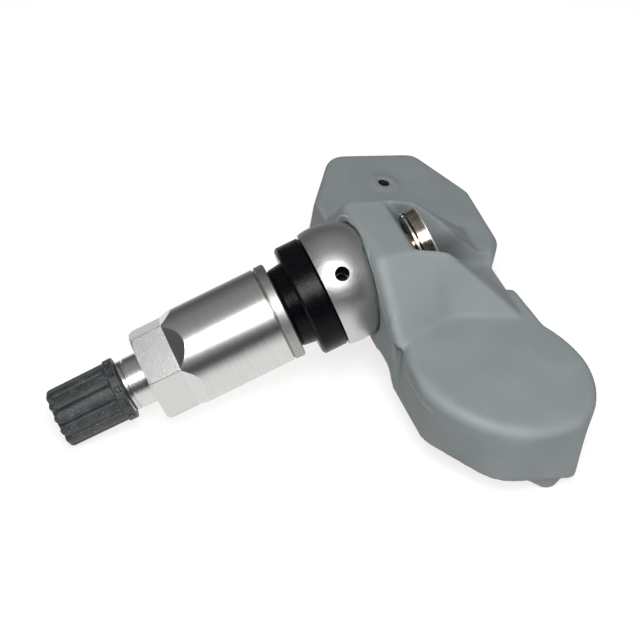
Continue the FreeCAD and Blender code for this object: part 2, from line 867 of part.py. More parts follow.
def flank_edges(block):
    """Edges between the top of the block and its flanks."""
    found = []
    for edge in block.Edges:
        spot = edge.valueAt((edge.FirstParameter + edge.LastParameter) / 2)
        long = edge.BoundBox.XLength > number("flank_edge")
        if long and spot.z > number("face_height") and abs(spot.y) > number("crown"):
            found.append(edge)
    return found


def slanted_front():
    """Everything on the valve's side of the slanted front."""
    lean = math.radians(number("front_lean"))
    offset = number("front_offset")
    span = 2 * number("lobe_length")
    blank = Part.makeBox(span, 2 * span, 2 * span, at(-span, -span, -span))
    return tilted(blank, number("front_lean"), at(offset * math.cos(lean), 0, offset * math.sin(lean)))


def front_edges(solid):
    """Edges between the slanted front and the block's top and flanks."""
    lean = math.radians(number("front_lean"))
    found = []
    for edge in solid.Edges:
        on_front = True
        for part in (0.1, 0.5, 0.9):
            spot = edge.valueAt(edge.FirstParameter + part * (edge.LastParameter - edge.FirstParameter))
            offset = spot.x * math.cos(lean) + spot.z * math.sin(lean) - number("front_offset")
            on_front = on_front and abs(offset) < 1e-3
        if on_front and edge.BoundBox.ZMax > number("face_height") + number("crown"):
            found.append(edge)
    return found


def trough():
    """Open space behind the joint's wall, for the screw head and the tool that turns it."""
    room = number("lock_radius") + number("trough_gap")
    far = 3 * room + number("wall_back")
    low = number("swivel_angle") - number("swivel_down")
    round_part = Part.makeCylinder(room, far, at(0, 0, 0), at(1, 0, 0))
    open_part = Part.makeBox(far, 2 * room, far, at(0, -room, 0))
    space = tilted(round_part.fuse(open_part), low)
    floor = -number("trough_floor")
    high = number("block_crest_z") + number("crown")
    floor_half = number("trough_floor_half")
    top_half = number("trough_top_half")
    section = [
        (-floor_half, floor, number("crown")),
        (floor_half, floor, number("crown")),
        (top_half, high, 0),
        (-top_half, high, 0),
    ]
    channel = Part.Face(rounded(section)).extrude(at(0, 0, far + room))
    across = FreeCAD.Rotation(at(0, 1, 0), at(0, 0, 1), at(1, 0, 0), "ZXY")
    channel.Placement = FreeCAD.Placement(at(0, 0, 0), across)
    space = space.fuse(channel)
    wall = Part.makeCylinder(number("wall_back"), 4 * room, at(0, -2 * room, 0), at(0, 1, 0))
    return space.cut(wall)


def screw_slot():
    """Slot through the joint's wall, long enough for the swivel."""
    room = number("screw_radius") + number("slot_gap")
    near = number("ball_radius") / 2
    far = number("wall_back") + 1
    low = number("swivel_angle") - number("swivel_down")
    high = number("swivel_angle") + number("swivel_up")
    shank = Part.makeCylinder(room, far - near, at(near, 0, 0), at(1, 0, 0))
    slot = tilted(shank, low).fuse(tilted(shank, high))
    flat = []
    for degrees, distance in ((low, near), (low, far), (high, far), (high, near)):
        angle = math.radians(degrees)
        flat.append(at(distance * math.cos(angle), -room, distance * math.sin(angle)))
    between = Part.Face(Part.makePolygon(flat + flat[:1])).extrude(at(0, 2 * room, 0))
    return slot.fuse(between)


def battery_room():
    """Round pocket for the battery with a lower recess under it."""
    spot = (number("battery_x"), -number("battery_y"))
    top = inside_top()
    ledge = battery_ledge()
    floor = room_floor()
    room = number("battery_radius") + number("board_gap")
    pocket = Part.makeCylinder(room, top - ledge, at(spot[0], spot[1], ledge))
    recess = Part.makeCylinder(number("recess_radius"), ledge - floor, at(spot[0], spot[1], floor))
    width = number("tab_width") + 2 * number("board_gap")
    passage = Part.makeBox(width, number("tab_passage"), top - number("tunnel_top"))
    passage.Placement.Base = at(spot[0] - width / 2, spot[1] + number("battery_radius") - 2,
                                number("tunnel_top"))
    return pocket.fuse(recess).fuse(passage)


def lobe_room(gap=0.0):
    """Outline of the space in the flat lobe, drawn in by a gap."""
    wall = number("shell_wall")
    inner = number("lobe_length") - wall - gap
    return [
        (number("board_near_x") - 3 * wall + gap, number("room_start") + gap, 0),
        (number("board_near_x") - 3.4 * wall + gap, number("lobe_tip_y"), wall),
        (number("lobe_near_x") + wall + gap, inner, wall),
        (number("lobe_far_x") - wall / 2 - gap, inner, wall),
        (number("lobe_tip_x") - wall - gap, number("lobe_tip_y"), wall),
        (number("lobe_rear_x") - wall - gap, number("room_start") + gap, 0),
    ]


def electronics_room():
    """Space in the flat lobe, and the tunnel that joins it to the battery."""
    floor = room_floor()
    reach = number("room_start") + number("shell_wall")
    lobe = prism(lobe_room(), floor, inside_top())
    near = number("board_near_x") - number("board_gap")
    length = number("waist_x") - number("shell_wall") - near
    height = number("tunnel_top") - floor
    tunnel = Part.makeBox(length, 2 * reach, height, at(near, -reach, floor))
    return lobe.fuse(tunnel)


def port():
    """Pressure port through the face of the flat lobe."""
    inside = inside_top()
    face = number("face_height") + number("port_ring_height")
    ring = Part.makeCylinder(number("port_ring_radius"), face - inside, port_spot(inside))
    bottom = port_spot(inside - number("shell_wall"))
    hole = Part.makeCylinder(number("port_radius"), 2 * (face - bottom.z), bottom)
    return ring, hole


def foot(outside):
    """Foot whose outer side carries on from the end wall of a lobe."""
    edge = outside - math.copysign(number("foot_inset"), outside)
    tip = math.copysign(number("foot_tip_depth"), outside)
    root = math.copysign(number("foot_depth"), outside)
    rings = []
    for near, far, depth, drop in (
        (number("foot_near_x"), number("foot_far_x"), root, 0),
        (number("foot_tip_near_x"), number("foot_tip_far_x"), tip, number("foot_height")),
    ):
        corner = number("foot_round")
        ring = [(near, edge), (far, edge), (far, edge - depth), (near, edge - depth)]
        rings.append(rounded([(x, y, corner) for x, y in ring], base_level() - drop))
    return Part.makeLoft(rings, True, True)


def relief():
    """Room under the joint."""
    span = number("lobe_length")
    half = number("relief_half")
    depth = number("relief_depth")
    corner = at(number("relief_x") - span, -half, base_level())
    return Part.makeBox(span, 2 * half, depth, corner)


def housing():
    """Upper shell and base, welded at the seam."""
    ring, hole = port()
    solid = back_lobe().multiFuse([front_lobe(), middle(), saddle(), ring])
    solid = solid.removeSplitter()
    for outside in (-number("pod_foot_y"), number("lobe_length")):
        solid = solid.fuse(foot(outside))
    solid = solid.cut(slanted_front())
    solid = solid.makeFillet(number("front_edge"), front_edges(solid))
    seat = Part.makeSphere(number("ball_radius") + number("seat_gap"))
    tools = [relief(), seat, trough(), screw_slot(), hole]
    tools += [battery_room(), electronics_room()]
    for tool in tools:
        solid = solid.cut(tool)
    span = 2 * number("lobe_length")
    seam = -number("seam_depth")
    above = Part.makeBox(2 * span, 2 * span, span, at(-span, -span, seam))
    shell = solid.common(above)
    base = solid.cut(above)
    for post in board_posts():
        base = base.fuse(post)
    for shape, label in ((shell, "housing_shell"), (base, "housing_base")):
        solid_node(shape.removeSplitter(), label)


def solid_node(shape, label):
    """Finished sub-part of the housing from its shape."""
    item = document.addObject("Part::Feature", label + "_solid")
    item.Shape = shape
    node(item, label, housing_nodes)


def stake_spots():
    """Places of the posts that carry the board."""
    near = number("board_near_x") + number("post_radius")
    far = number("board_far_x") - number("post_radius")
    short = board_end() + number("post_inset")
    long = number("lobe_length") - number("shell_wall") - number("post_inset")
    return [(near, short), (far, short), (near, long), (far, long)]


def board_posts():
    """Posts of the base, staked over the board with heat."""
    floor = room_floor()
    under = board_under()
    above = board_top()
    posts = []
    for x, y in stake_spots():
        post = Part.makeCylinder(number("post_radius"), under - floor, at(x, y, floor))
        stake = Part.makeCylinder(number("stake_radius"), above - under, at(x, y, under))
        head = Part.makeCylinder(number("stake_head"), number("stake_rise"), at(x, y, above))
        posts.append(post.fuse(stake).fuse(head))
    return posts


def board_end():
    """Y of the end of the board, beside the battery."""
    return number("battery_radius") + number("board_gap") - number("battery_y") + 0.1


def circuit_board():
    under = board_under()
    above = board_top()
    lobe = prism(lobe_room(number("board_gap")), under, above)
    near = number("board_near_x")
    strip = Part.makeBox(number("board_far_x") - near, number("lobe_tip_y") - board_end(),
                         number("board_thickness"), at(near, board_end(), under))
    board = lobe.fuse(strip).removeSplitter()
    for x, y in stake_spots():
        hole = Part.makeCylinder(number("stake_radius"), number("board_thickness"), at(x, y, under))
        board = board.cut(hole)
    solid_node(board, "circuit_board")


def battery():
    """Coin cell on its ledge, with welded tabs that reach the board."""
    x = number("battery_x")
    y = -number("battery_y")
    low = battery_ledge()
    high = low + number("battery_thickness")
    cell = Part.makeCylinder(number("battery_radius"), high - low, at(x, y, low))
    rims = edges_at(cell, low) + edges_at(cell, high)
    solid_node(cell.makeChamfer(number("battery_can_edge"), rims), "battery_cell")
    strip = number("tab_thickness")
    end = board_end() + 2 * strip
    half = number("tab_width") / 2
    for label, level, solder in (("battery_tab_plus", high, board_top()),
                                 ("battery_tab_minus", low - strip, board_under())):
        flat = Part.makeBox(2 * half, end - y, strip, at(x - half, y, level))
        bottom = min(level, solder)
        height = max(level + strip, solder) - bottom
        leg_down = Part.makeBox(2 * half, strip, height, at(x - half, end - strip, bottom))
        solid_node(flat.fuse(leg_down).removeSplitter(), label)


def sensing_stack():
    """Sensor chip under the port, with the seal and the filter that join it to the port."""
    long = number("chip_length")
    wide = number("chip_width")
    corner = port_spot(board_top()) - at(long / 2, wide / 2, 0)
    solid_node(Part.makeBox(long, wide, number("chip_height"), corner), "sensor_chip")
    chip_top = board_top() + number("chip_height")
    height = number("port_seal_height")
    radius = number("port_seal_radius")
    ring = Part.makeCylinder(radius, height, port_spot(chip_top))
    bore = Part.makeCylinder(number("port_seal_bore"), height, port_spot(chip_top))
    solid_node(ring.cut(bore), "port_seal")
    disc = Part.makeCylinder(radius, number("filter_thickness"), port_spot(chip_top + height))
    solid_node(disc, "port_filter")


def coil_and_crystal():
    """Wake-up coil on its ferrite core, and the clock crystal."""
    level = board_top()
    core = number("coil_core")
    wound = number("coil_winding")
    long = number("coil_length")
    wide = number("coil_winding_length")
    x = number("board_far_x") - wound / 2
    y = number("room_start") + number("coil_gap") + long / 2
    lift = (wound - core) / 2
    rod = Part.makeBox(core, long, core, at(x - core / 2, y - long / 2, level + lift))
    end = (long - wide) / 2
    for start in (y - long / 2, y + long / 2 - end):
        flange = Part.makeBox(wound, end, wound, at(x - wound / 2, start, level))
        rod = rod.fuse(flange)
    solid_node(rod.removeSplitter(), "antenna_core")
    winding = Part.makeBox(wound, wide, wound, at(x - wound / 2, y - wide / 2, level))
    hollow = Part.makeBox(core, wide, core, at(x - core / 2, y - wide / 2, level + lift))
    solid_node(winding.cut(hollow), "antenna_winding")
    long = number("crystal_length")
    wide = number("crystal_width")
    spot = at(number("board_near_x") + wide, number("crystal_y"), level)
    can = Part.makeBox(wide, long, number("crystal_height"), spot)
    solid_node(can, "crystal_can")


def rest_slope():
    """Slope of the valve on a level floor, touching it with the cap's edge and both feet."""
    swivel = math.radians(number("swivel_angle"))
    foot_x = number("foot_tip_far_x")
    foot_z = number("foot_height") - base_level()
    behind = foot_x * math.cos(swivel) - foot_z * math.sin(swivel)
    below = foot_x * math.sin(swivel) + foot_z * math.cos(swivel)
    reach = float(cap_end) - number("pivot") - number("cap_edge")
    return math.atan2(below - number("cap_end_radius"), behind + reach)


def place():
    """Lay the sensor on the floor, with the middle of its footprint at the origin."""
    slope = rest_slope()
    reach = float(cap_end) - number("pivot") - number("cap_edge")
    height = reach * math.sin(slope) + number("cap_end_radius") * math.cos(slope)
    degrees = math.degrees(slope)
    lean = FreeCAD.Rotation(at(0, 1, 0), number("swivel_angle") - degrees)
    along = FreeCAD.Rotation(at(0, 1, 0), -90 - degrees)
    ball = at(0, 0, height)
    for shift in (True, False):
        for item in housing_nodes:
            item.Placement = FreeCAD.Placement(ball, lean)
        for item in valve_nodes:
            start = ball - along.multVec(at(0, 0, number("pivot")))
            item.Placement = FreeCAD.Placement(start, along)
        document.recompute()
        if shift:
            bound = Part.makeCompound([item.Shape for item in valve_nodes + housing_nodes])
            box = bound.optimalBoundingBox(False)
            ball = ball - at(box.Center.x, box.Center.y, box.ZMin)


def save():
    """Check every object and write one file for each sub-part."""
    for item in document.Objects:
        if "Invalid" in item.State or "Error" in item.State:
            raise RuntimeError(item.Label + " did not build")
    os.makedirs("parts", exist_ok=True)
    for item in valve_nodes + housing_nodes:
        if item.Shape.isNull() or not item.Shape.isValid():
            raise RuntimeError(item.Label + " has no valid shape")
        item.Shape.exportStep("parts/" + item.Label + ".step")


valve_stem()
rubber_grommet()
nut_washer()
collar_nut()
valve_cap()
cap_seal()
valve_core()
fixing_screw()
lock_washer()
housing()
circuit_board()
battery()
sensing_stack()
coil_and_crystal()
document.recompute()
place()
save()
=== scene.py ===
"""Looks of a tyre pressure sensor: a plastic housing that swivels on the ball end of an aluminium valve."""

import json
import logging
import math
from dataclasses import dataclass
from enum import Enum
from typing import Any, Union

import bmesh
import bpy
from mathutils import Matrix, Quaternion, Vector


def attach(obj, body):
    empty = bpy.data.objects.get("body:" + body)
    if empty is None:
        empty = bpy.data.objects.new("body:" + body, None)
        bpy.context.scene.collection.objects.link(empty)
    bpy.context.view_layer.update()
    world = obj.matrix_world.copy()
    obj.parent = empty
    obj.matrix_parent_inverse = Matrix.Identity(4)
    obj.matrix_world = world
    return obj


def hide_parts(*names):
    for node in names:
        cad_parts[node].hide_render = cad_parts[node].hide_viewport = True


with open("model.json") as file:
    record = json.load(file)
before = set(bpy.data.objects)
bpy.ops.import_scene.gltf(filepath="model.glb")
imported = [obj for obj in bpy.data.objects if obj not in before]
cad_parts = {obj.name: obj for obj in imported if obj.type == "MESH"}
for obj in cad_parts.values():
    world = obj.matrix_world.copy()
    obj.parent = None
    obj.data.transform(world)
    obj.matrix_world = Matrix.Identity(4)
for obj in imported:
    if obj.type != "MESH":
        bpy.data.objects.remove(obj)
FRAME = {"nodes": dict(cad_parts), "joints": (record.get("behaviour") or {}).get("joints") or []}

LOG = logging.getLogger("pressure_sensor")
MM = 0.001  # a millimetre in metres
TO_MM = 1000.0  # a metre in millimetres
SWIVEL_DEG = 30.0  # angle of the valve to the face of the lobes at rest
PHOTO_SLOPE_DEG = 17.8  # slope of the valve for which the camera was matched
EDGE = "edge"  # vertex attribute with the sharpness of the housing's edges
MIDDLE = (0.3, 0.7)  # part of a noise's range over which a colour changes
Colour = tuple[float, float, float]
Span = tuple[float, float]


class Wire:
    """One output of a shader node, with arithmetic that adds Math nodes."""

    def __init__(self, graph: "Graph", socket: bpy.types.NodeSocket) -> None:
        """Wrap an output socket of a graph."""
        self.graph = graph
        self.socket = socket

    def _math(self, operation: str, *values: Any) -> "Wire":
        """Add a Math node on these values."""
        return self.graph.node("ShaderNodeMath", {"operation": operation}, dict(enumerate(values)))

    def __add__(self, other: Any) -> "Wire":
        """Sum."""
        return self._math("ADD", self, other)

    __radd__ = __add__

    def __sub__(self, other: Any) -> "Wire":
        """Difference."""
        return self._math("SUBTRACT", self, other)

    def __rsub__(self, other: Any) -> "Wire":
        """Difference with the wire on the right."""
        return self._math("SUBTRACT", other, self)

    def __mul__(self, other: Any) -> "Wire":
        """Product."""
        return self._math("MULTIPLY", self, other)

    __rmul__ = __mul__

    def __truediv__(self, other: Any) -> "Wire":
        """Quotient."""
        return self._math("DIVIDE", self, other)

    def __pow__(self, other: Any) -> "Wire":
        """Power."""
        return self._math("POWER", self, other)

    def __abs__(self) -> "Wire":
        """Size without the sign."""
        return self._math("ABSOLUTE", self)

    def fraction(self) -> "Wire":
        """Part after the decimal point."""
        return self._math("FRACT", self)

    def heading(self, other: "Wire") -> "Wire":
        """Angle of the point whose Y is this value and whose X is the other one."""
        return self._math("ARCTAN2", self, other)

    def length(self, *others: "Wire") -> "Wire":
        """Length of the vector with this component and the others.

        Args:
            others: The other components.

        Returns:
            The length.
        """
        total = self * self
        for other in others:
            total = total + other * other
        return total ** 0.5

    def least(self, other: Any) -> "Wire":
        """Lesser of two values."""
        return self._math("MINIMUM", self, other)

    def most(self, other: Any) -> "Wire":
        """Greater of two values."""
        return self._math("MAXIMUM", self, other)

    def step(self, low: float, high: float, least: float = 0.0, most: float = 1.0) -> "Wire":
        """Smooth rise from the least value at low to the most at high."""
        return self.graph.node("ShaderNodeMapRange", {"interpolation_type": "SMOOTHSTEP"},
                               {"Value": self, "From Min": low, "From Max": high, "To Min": least,
                                "To Max": most})

    def split(self) -> tuple["Wire", "Wire", "Wire"]:
        """The three components of a vector."""
        node = self.graph.node("ShaderNodeSeparateXYZ", {}, {"Vector": self}).socket.node
        return tuple(Wire(self.graph, socket) for socket in node.outputs)


class Graph:
    """Node graph of a world or a material."""

    def __init__(self, tree: bpy.types.NodeTree) -> None:
        """Wrap a node tree."""
        self.tree = tree

    def node(self, kind: str, settings: dict[str, Any], inputs: dict[Any, Any],
             output: Union[int, str] = 0) -> Wire:
        """Add a node.

        Args:
            kind: Node type.
            settings: Properties of the node, set first.
            inputs: Values or wires for its sockets, by name or number.
            output: Which output to return.

        Returns:
            The chosen output.
        """
        made = self.tree.nodes.new(kind)
        for name, value in settings.items():
            setattr(made, name, value)
        for name, value in inputs.items():
            self.join(made.inputs[name], value)
        return Wire(self, made.outputs[output])

    def join(self, socket: bpy.types.NodeSocket, value: Any) -> None:
        """Link a wire to a socket, or set the socket's own value.

        Args:
            socket: Input socket of a node.
            value: Wire, number or colour.
        """
        if isinstance(value, Wire):
            self.tree.links.new(value.socket, socket)
        elif socket.type == "RGBA" and len(value) == 3:
            socket.default_value = (*value, 1.0)
        else:
            socket.default_value = value

    def noise(self, where: Wire, scale: float, detail: float = 2.0, rough: float = 0.5) -> Wire:
        """Noise value over a place.

        Args:
            where: Coordinates.
            scale: Cells per unit of the coordinates.
            detail: Octaves.
            rough: Strength of the finer octaves.

        Returns:
            The value, about 0 to 1.
        """
        return self.node("ShaderNodeTexNoise", {}, {"Vector": where, "Scale": scale,
                                                    "Detail": detail, "Roughness": rough})

    def stretch(self, where: Wire, scale: tuple[float, float, float]) -> Wire:
        """Coordinates scaled along their axes."""
        return self.node("ShaderNodeVectorMath", {"operation": "MULTIPLY"}, {0: where, 1: scale})

    def marks(self, where: Wire, per_mm: tuple[float, float, float], detail: float = 4.0,
              rough: float = 0.65) -> Wire:
        """Noise drawn out into marks, such as those of turning or brushing.

        Args:
            where: Coordinates.
            per_mm: Cells per millimetre along each axis, fewest along the marks.
            detail: Octaves.
            rough: Strength of the finer octaves.

        Returns:
            The value, about 0 to 1.
        """
        return self.noise(self.stretch(where, per_mm), 1.0, detail, rough)

    def blend(self, factor: Any, first: Any, second: Any) -> Wire:
        """Mix of two colours."""
        return self.node("ShaderNodeMix", {"data_type": "RGBA"}, {0: factor, 6: first, 7: second}, 2)

    def attribute(self, name: str) -> Wire:
        """Number stored on the vertices of a piece."""
        return self.node("ShaderNodeAttribute", {"attribute_name": name}, {}, "Fac")

    def ray(self, kind: str) -> Wire:
        """1 for rays of a kind, such as Camera or Glossy, and 0 for others."""
        return self.node("ShaderNodeLightPath", {}, {}, f"Is {kind} Ray")


class MaterialGraph(Graph):
    """Node graph of a new material with a Principled shader."""

    def __init__(self, name: str) -> None:
        """Start a material.

        Args:
            name: Name of the material.
        """
        self.material = bpy.data.materials.new(name)
        self.material.use_nodes = True
        super().__init__(self.material.node_tree)
        self.shader = self.tree.nodes["Principled BSDF"]

    def set(self, **values: Any) -> None:
        """Set inputs of the shader, with underscores for spaces in their names."""
        for name, value in values.items():
            self.join(self.shader.inputs[name.replace("_", " ")], value)

    def bump(self, height: Wire, depth_mm: float, strength: float = 1.0) -> None:
        """Feed the shader's normal from a height.

        Args:
            height: Height value, 0 to 1.
            depth_mm: What a height of 1 stands for, in millimetres.
            strength: Strength of the bump.
        """
        self.set(Normal=self.node("ShaderNodeBump", {}, {"Height": height, "Distance": depth_mm * MM,
                                                         "Strength": strength}))


@dataclass(frozen=True)
class Line:
    """Local frame of one of the two halves of the sensor, both about the ball's centre."""

    ball: Vector
    turn: Quaternion

    @classmethod
    def of_valve(cls, ball: Vector, ahead: Vector) -> "Line":
        """Frame whose Z runs along the valve towards the cap and whose X points up."""
        up = (Vector((0, 0, 1)) - ahead * ahead.z).normalized()
        return cls(ball, Matrix((up, ahead.cross(up), ahead)).transposed().to_quaternion())

    @classmethod
    def of_housing(cls, ball: Vector, ahead: Vector, swivel_deg: float) -> "Line":
        """Frame whose X runs away from the valve and whose Z stands on the face of the lobes."""
        slope = math.atan2(-ahead.z, -ahead.x)
        return cls(ball, Quaternion((0, 1, 0), math.radians(swivel_deg) - slope))

    def local(self, point: Vector) -> Vector:
        """Point of the row frame in this frame, in millimetres."""
        return self.turn.inverted() @ (point - self.ball) * TO_MM

    def world(self, point: Vector) -> Vector:
        """Point of this frame, in millimetres, in the row frame."""
        return self.ball + self.turn @ (point * MM)

    def place(self, graph: Graph) -> Wire:
        """Object coordinates in this frame, in millimetres, for a material.

        Args:
            graph: Graph of the material.

        Returns:
            The local coordinates.
        """
        coordinates = graph.node("ShaderNodeTexCoord", {}, {}, "Object")
        back = self.turn.inverted()
        shift = back @ self.ball
        return graph.node("ShaderNodeMapping", {"vector_type": "POINT"},
                          {"Vector": coordinates, "Location": tuple(-TO_MM * shift),
                           "Rotation": tuple(back.to_euler("XYZ")), "Scale": (TO_MM,) * 3})


@dataclass(frozen=True)
class HousingPlan:
    """Places on the housing that its shape and its material share, in its own frame."""

    front_lean_deg: float = 16.0
    front_offset: float = 3.4
    port: Span = (16.1, 22.6)
    port_radius: float = 0.84

    def behind_front(self, x: Any, z: Any) -> Any:
        """Distance behind the plane of the slanted front, for numbers or for wires."""
        lean = math.radians(self.front_lean_deg)
        return x * math.cos(lean) + z * math.sin(lean) - self.front_offset


@dataclass(frozen=True)
class MouldedPlastic:
    """Satin grey plastic of the housing, with scuffs, the mould's fine line, and painted shade in the trough
    and the port's bore.
    """

    line: Line
    plan: HousingPlan
    shade: Colour = (0.238, 0.263, 0.265)
    light: Colour = (0.262, 0.287, 0.289)
    scuff: Colour = (0.40, 0.43, 0.43)
    burr: Colour = (0.56, 0.58, 0.58)
    # colour of the painted shade in the trough
    trough_shade: Colour = (0.045, 0.052, 0.055)
    # near black of the painted shade in bores
    bore_shade: Colour = (0.02, 0.023, 0.023)
    mottle_per_mm: float = 0.16
    patches_per_mm: float = 0.22
    specks_per_mm: float = 2.6
    grain_per_mm: float = 7.0
    rough: float = 0.42
    gloss: float = 0.24
    flash_radius: float = 9.4
    flash_turn_deg: float = 41.5
    flash_half: float = 0.13
    wall_level: float = -2.0
    port_fade: float = 0.12
    port_dark: float = 0.08
    port_top: float = 1.2
    port_foot: Span = (-2.0, -1.9)
    front_fade: Span = (0.25, 0.4)
    front_foot: Span = (-2.6, -1.5)
    wall_front: Span = (5.0, 6.0)
    wall_inner: Span = (-13.5, -12.5)
    wall_outer: Span = (-26.0, -24.0)
    trough_side: Span = (4.8, 6.0)
    trough_front: Span = (11.0, 12.0)
    trough_back: Span = (18.0, 24.5)
    trough_end: Span = (24.5, 26.0)
    trough_rim: Span = (3.4, 5.8)

    def material(self) -> bpy.types.Material:
        """Make the material.

        Returns:
            The material.
        """
        graph = MaterialGraph("moulded_plastic")
        where = self.line.place(graph)
        mottle = graph.noise(where, self.mottle_per_mm, 3.0)
        specks = graph.noise(where, self.specks_per_mm, 5.0, 0.7)
        patches = graph.noise(where, self.patches_per_mm, 2.0)
        grain = graph.noise(where, self.grain_per_mm, 3.0, 0.6)
        on_edges = graph.attribute(EDGE) * specks.step(0.35, 0.65) * 0.2
        in_patches = specks.step(0.58, 0.72) * patches.step(0.5, 0.64) * 0.4
        flash = self._flash(where)
        layers = (
            ((on_edges + in_patches).least(1.0), self.scuff),
            (flash * 0.9, self.burr),
            # painted shade: the trough round the screw's head is darkened where shade falls
            (self._painted_trough_shade(where) * (0.62 + 0.2 * (mottle - 0.5)), self.trough_shade),
            # painted shade in the port's bore
            (self._bore(where), self.bore_shade),
        )
        colour = graph.blend(mottle.step(*MIDDLE), self.shade, self.light)
        for share, tint in layers:
            colour = graph.blend(share, colour, tint)
        graph.set(Base_Color=colour, Roughness=self.rough + 0.16 * specks, Specular_IOR_Level=self.gloss)
        graph.bump(grain * 0.6 + flash * 0.8 + mottle * 2.0, 0.02, 0.4)
        return graph.material

    def _bore(self, where: Wire) -> Wire:
        """Mask of the port's bore, painted dark as shade, since no light reaches it.

        Args:
            where: Coordinates of the housing's frame.

        Returns:
            The mask.
        """
        x, y, z = where.split()
        wall = self.plan.port_radius + self.port_dark
        away = (x - self.plan.port[0]).length(y - self.plan.port[1])
        inside = 1 - away.step(wall, wall + self.port_fade)
        below = 1 - z.step(self.port_top - self.port_fade, self.port_top)
        return inside * below * z.step(*self.port_foot)

    def _painted_trough_shade(self, where: Wire) -> Wire:
        """Mask of the painted shade in the trough, thickest round the screw's head.

        Args:
            where: Coordinates of the housing's frame.

        Returns:
            The mask.
        """
        x, y, z = where.split()
        across = 1 - abs(y).step(*self.trough_side)
        along = x.step(*self.trough_front) * (1 - x.step(*self.trough_back) * 0.75)
        return across * along * (1 - z.step(*self.trough_rim)) * (1 - x.step(*self.trough_end))

    def _flash(self, where: Wire) -> Wire:
        """Mask of the mould's line.

        It runs round the seat on the slanted front, straight down from there, and along the pod's wall.

        Args:
            where: Coordinates of the housing's frame.

        Returns:
            The mask.
        """
        x, y, z = where.split()
        turn = math.radians(self.flash_turn_deg)
        straight = z * math.sin(turn) - y * math.cos(turn)
        below = (y * -math.sin(turn) - z * math.cos(turn)).step(-0.1, 0.1)
        round_seat = y.length(z) * (1 - below) + straight * below
        near_front = 1 - abs(self.plan.behind_front(x, z)).step(*self.front_fade)
        on_front = self._thin(round_seat - self.flash_radius) * near_front * z.step(*self.front_foot)
        level = self._thin(z - self.wall_level) * (1 - x.step(*self.wall_front))
        on_wall = level * (1 - y.step(*self.wall_inner)) * y.step(*self.wall_outer)
        return (on_front + on_wall).least(1.0)

    def _thin(self, away: Wire) -> Wire:
        """Mask of a thin line, from the distance to its middle."""
        return 1 - abs(away).step(self.flash_half * 0.3, self.flash_half)


@dataclass(frozen=True)
class WasherAluminium:
    """Blasted, slightly tarnished aluminium of the nut's washer."""

    line: Line
    shade: Colour = (0.4, 0.4, 0.385)
    light: Colour = (0.56, 0.56, 0.545)
    rough: float = 0.46
    grain_per_mm: float = 5.0

    def material(self) -> bpy.types.Material:
        """Make the material.

        Returns:
            The material.
        """
        graph = MaterialGraph("aluminium_blasted")
        grain = graph.noise(self.line.place(graph), self.grain_per_mm, 3.0, 0.65)
        graph.set(Base_Color=graph.blend(grain.step(*MIDDLE), self.shade, self.light), Metallic=1.0,
                  Roughness=self.rough + 0.2 * (grain - 0.5))
        graph.bump(grain, 0.02, 0.7)
        return graph.material


@dataclass(frozen=True)
class NutAluminium:
    """Union nut: turned sleeve, blasted flats and polished run-outs between them."""

    line: Line
    shade: Colour = (0.72, 0.72, 0.71)
    light: Colour = (0.81, 0.81, 0.80)
    # colour of the painted shade along the hexagon's corners
    corner_shade: Colour = (0.22, 0.22, 0.22)
    hex_face: float = 23.8
    hex_corner: float = 6.93
    corner_turn_deg: float = 3.1
    corner_half: float = 0.08
    sleeve_radius: float = 6.8
    grain_per_mm: float = 9.0
    turning_per_mm: tuple[float, float, float] = (0.12, 0.12, 5.5)

    def material(self) -> bpy.types.Material:
        """Make the material.

        Returns:
            The material.
        """
        graph = MaterialGraph("nut_aluminium")
        where = self.line.place(graph)
        x, y, z = where.split()
        inside_sleeve = 1 - x.length(y).step(self.sleeve_radius - 0.04, self.sleeve_radius)
        blasted = z.step(self.hex_face - 0.1, self.hex_face + 0.1)
        polished = inside_sleeve * (1 - blasted)
        grain = graph.noise(where, self.grain_per_mm, 3.0, 0.7)
        turning = graph.marks(where, self.turning_per_mm)
        tone = turning * (1 - blasted) + grain * blasted
        colour = graph.blend(tone.step(0.32, 0.68), self.shade, self.light)
        # painted shade: dark lines along the hexagon's corners
        colour = graph.blend(self._corner(x, y) * blasted * 0.85, colour, self.corner_shade)
        rough = 0.29 + 0.03 * (turning - 0.5) + 0.2 * (grain - 0.5) * blasted - 0.1 * polished
        graph.set(Base_Color=colour, Metallic=1.0, Roughness=rough)
        graph.bump(turning * (1 - blasted) * 0.03 + grain * blasted, 0.02, 0.42)
        return graph.material

    def _corner(self, x: Wire, y: Wire) -> Wire:
        """Mask of the painted shade along the hexagon's corners.

        Args:
            x: Place across the valve, upwards.
            y: Place across the valve, sideways.

        Returns:
            The mask.
        """
        sixth = (y.heading(x) * (180 / math.pi) - self.corner_turn_deg) / 60
        across = (0.5 - abs(sixth.fraction() - 0.5)) * (self.hex_corner * math.pi / 3)
        return 1 - across.step(self.corner_half * 0.4, self.corner_half)


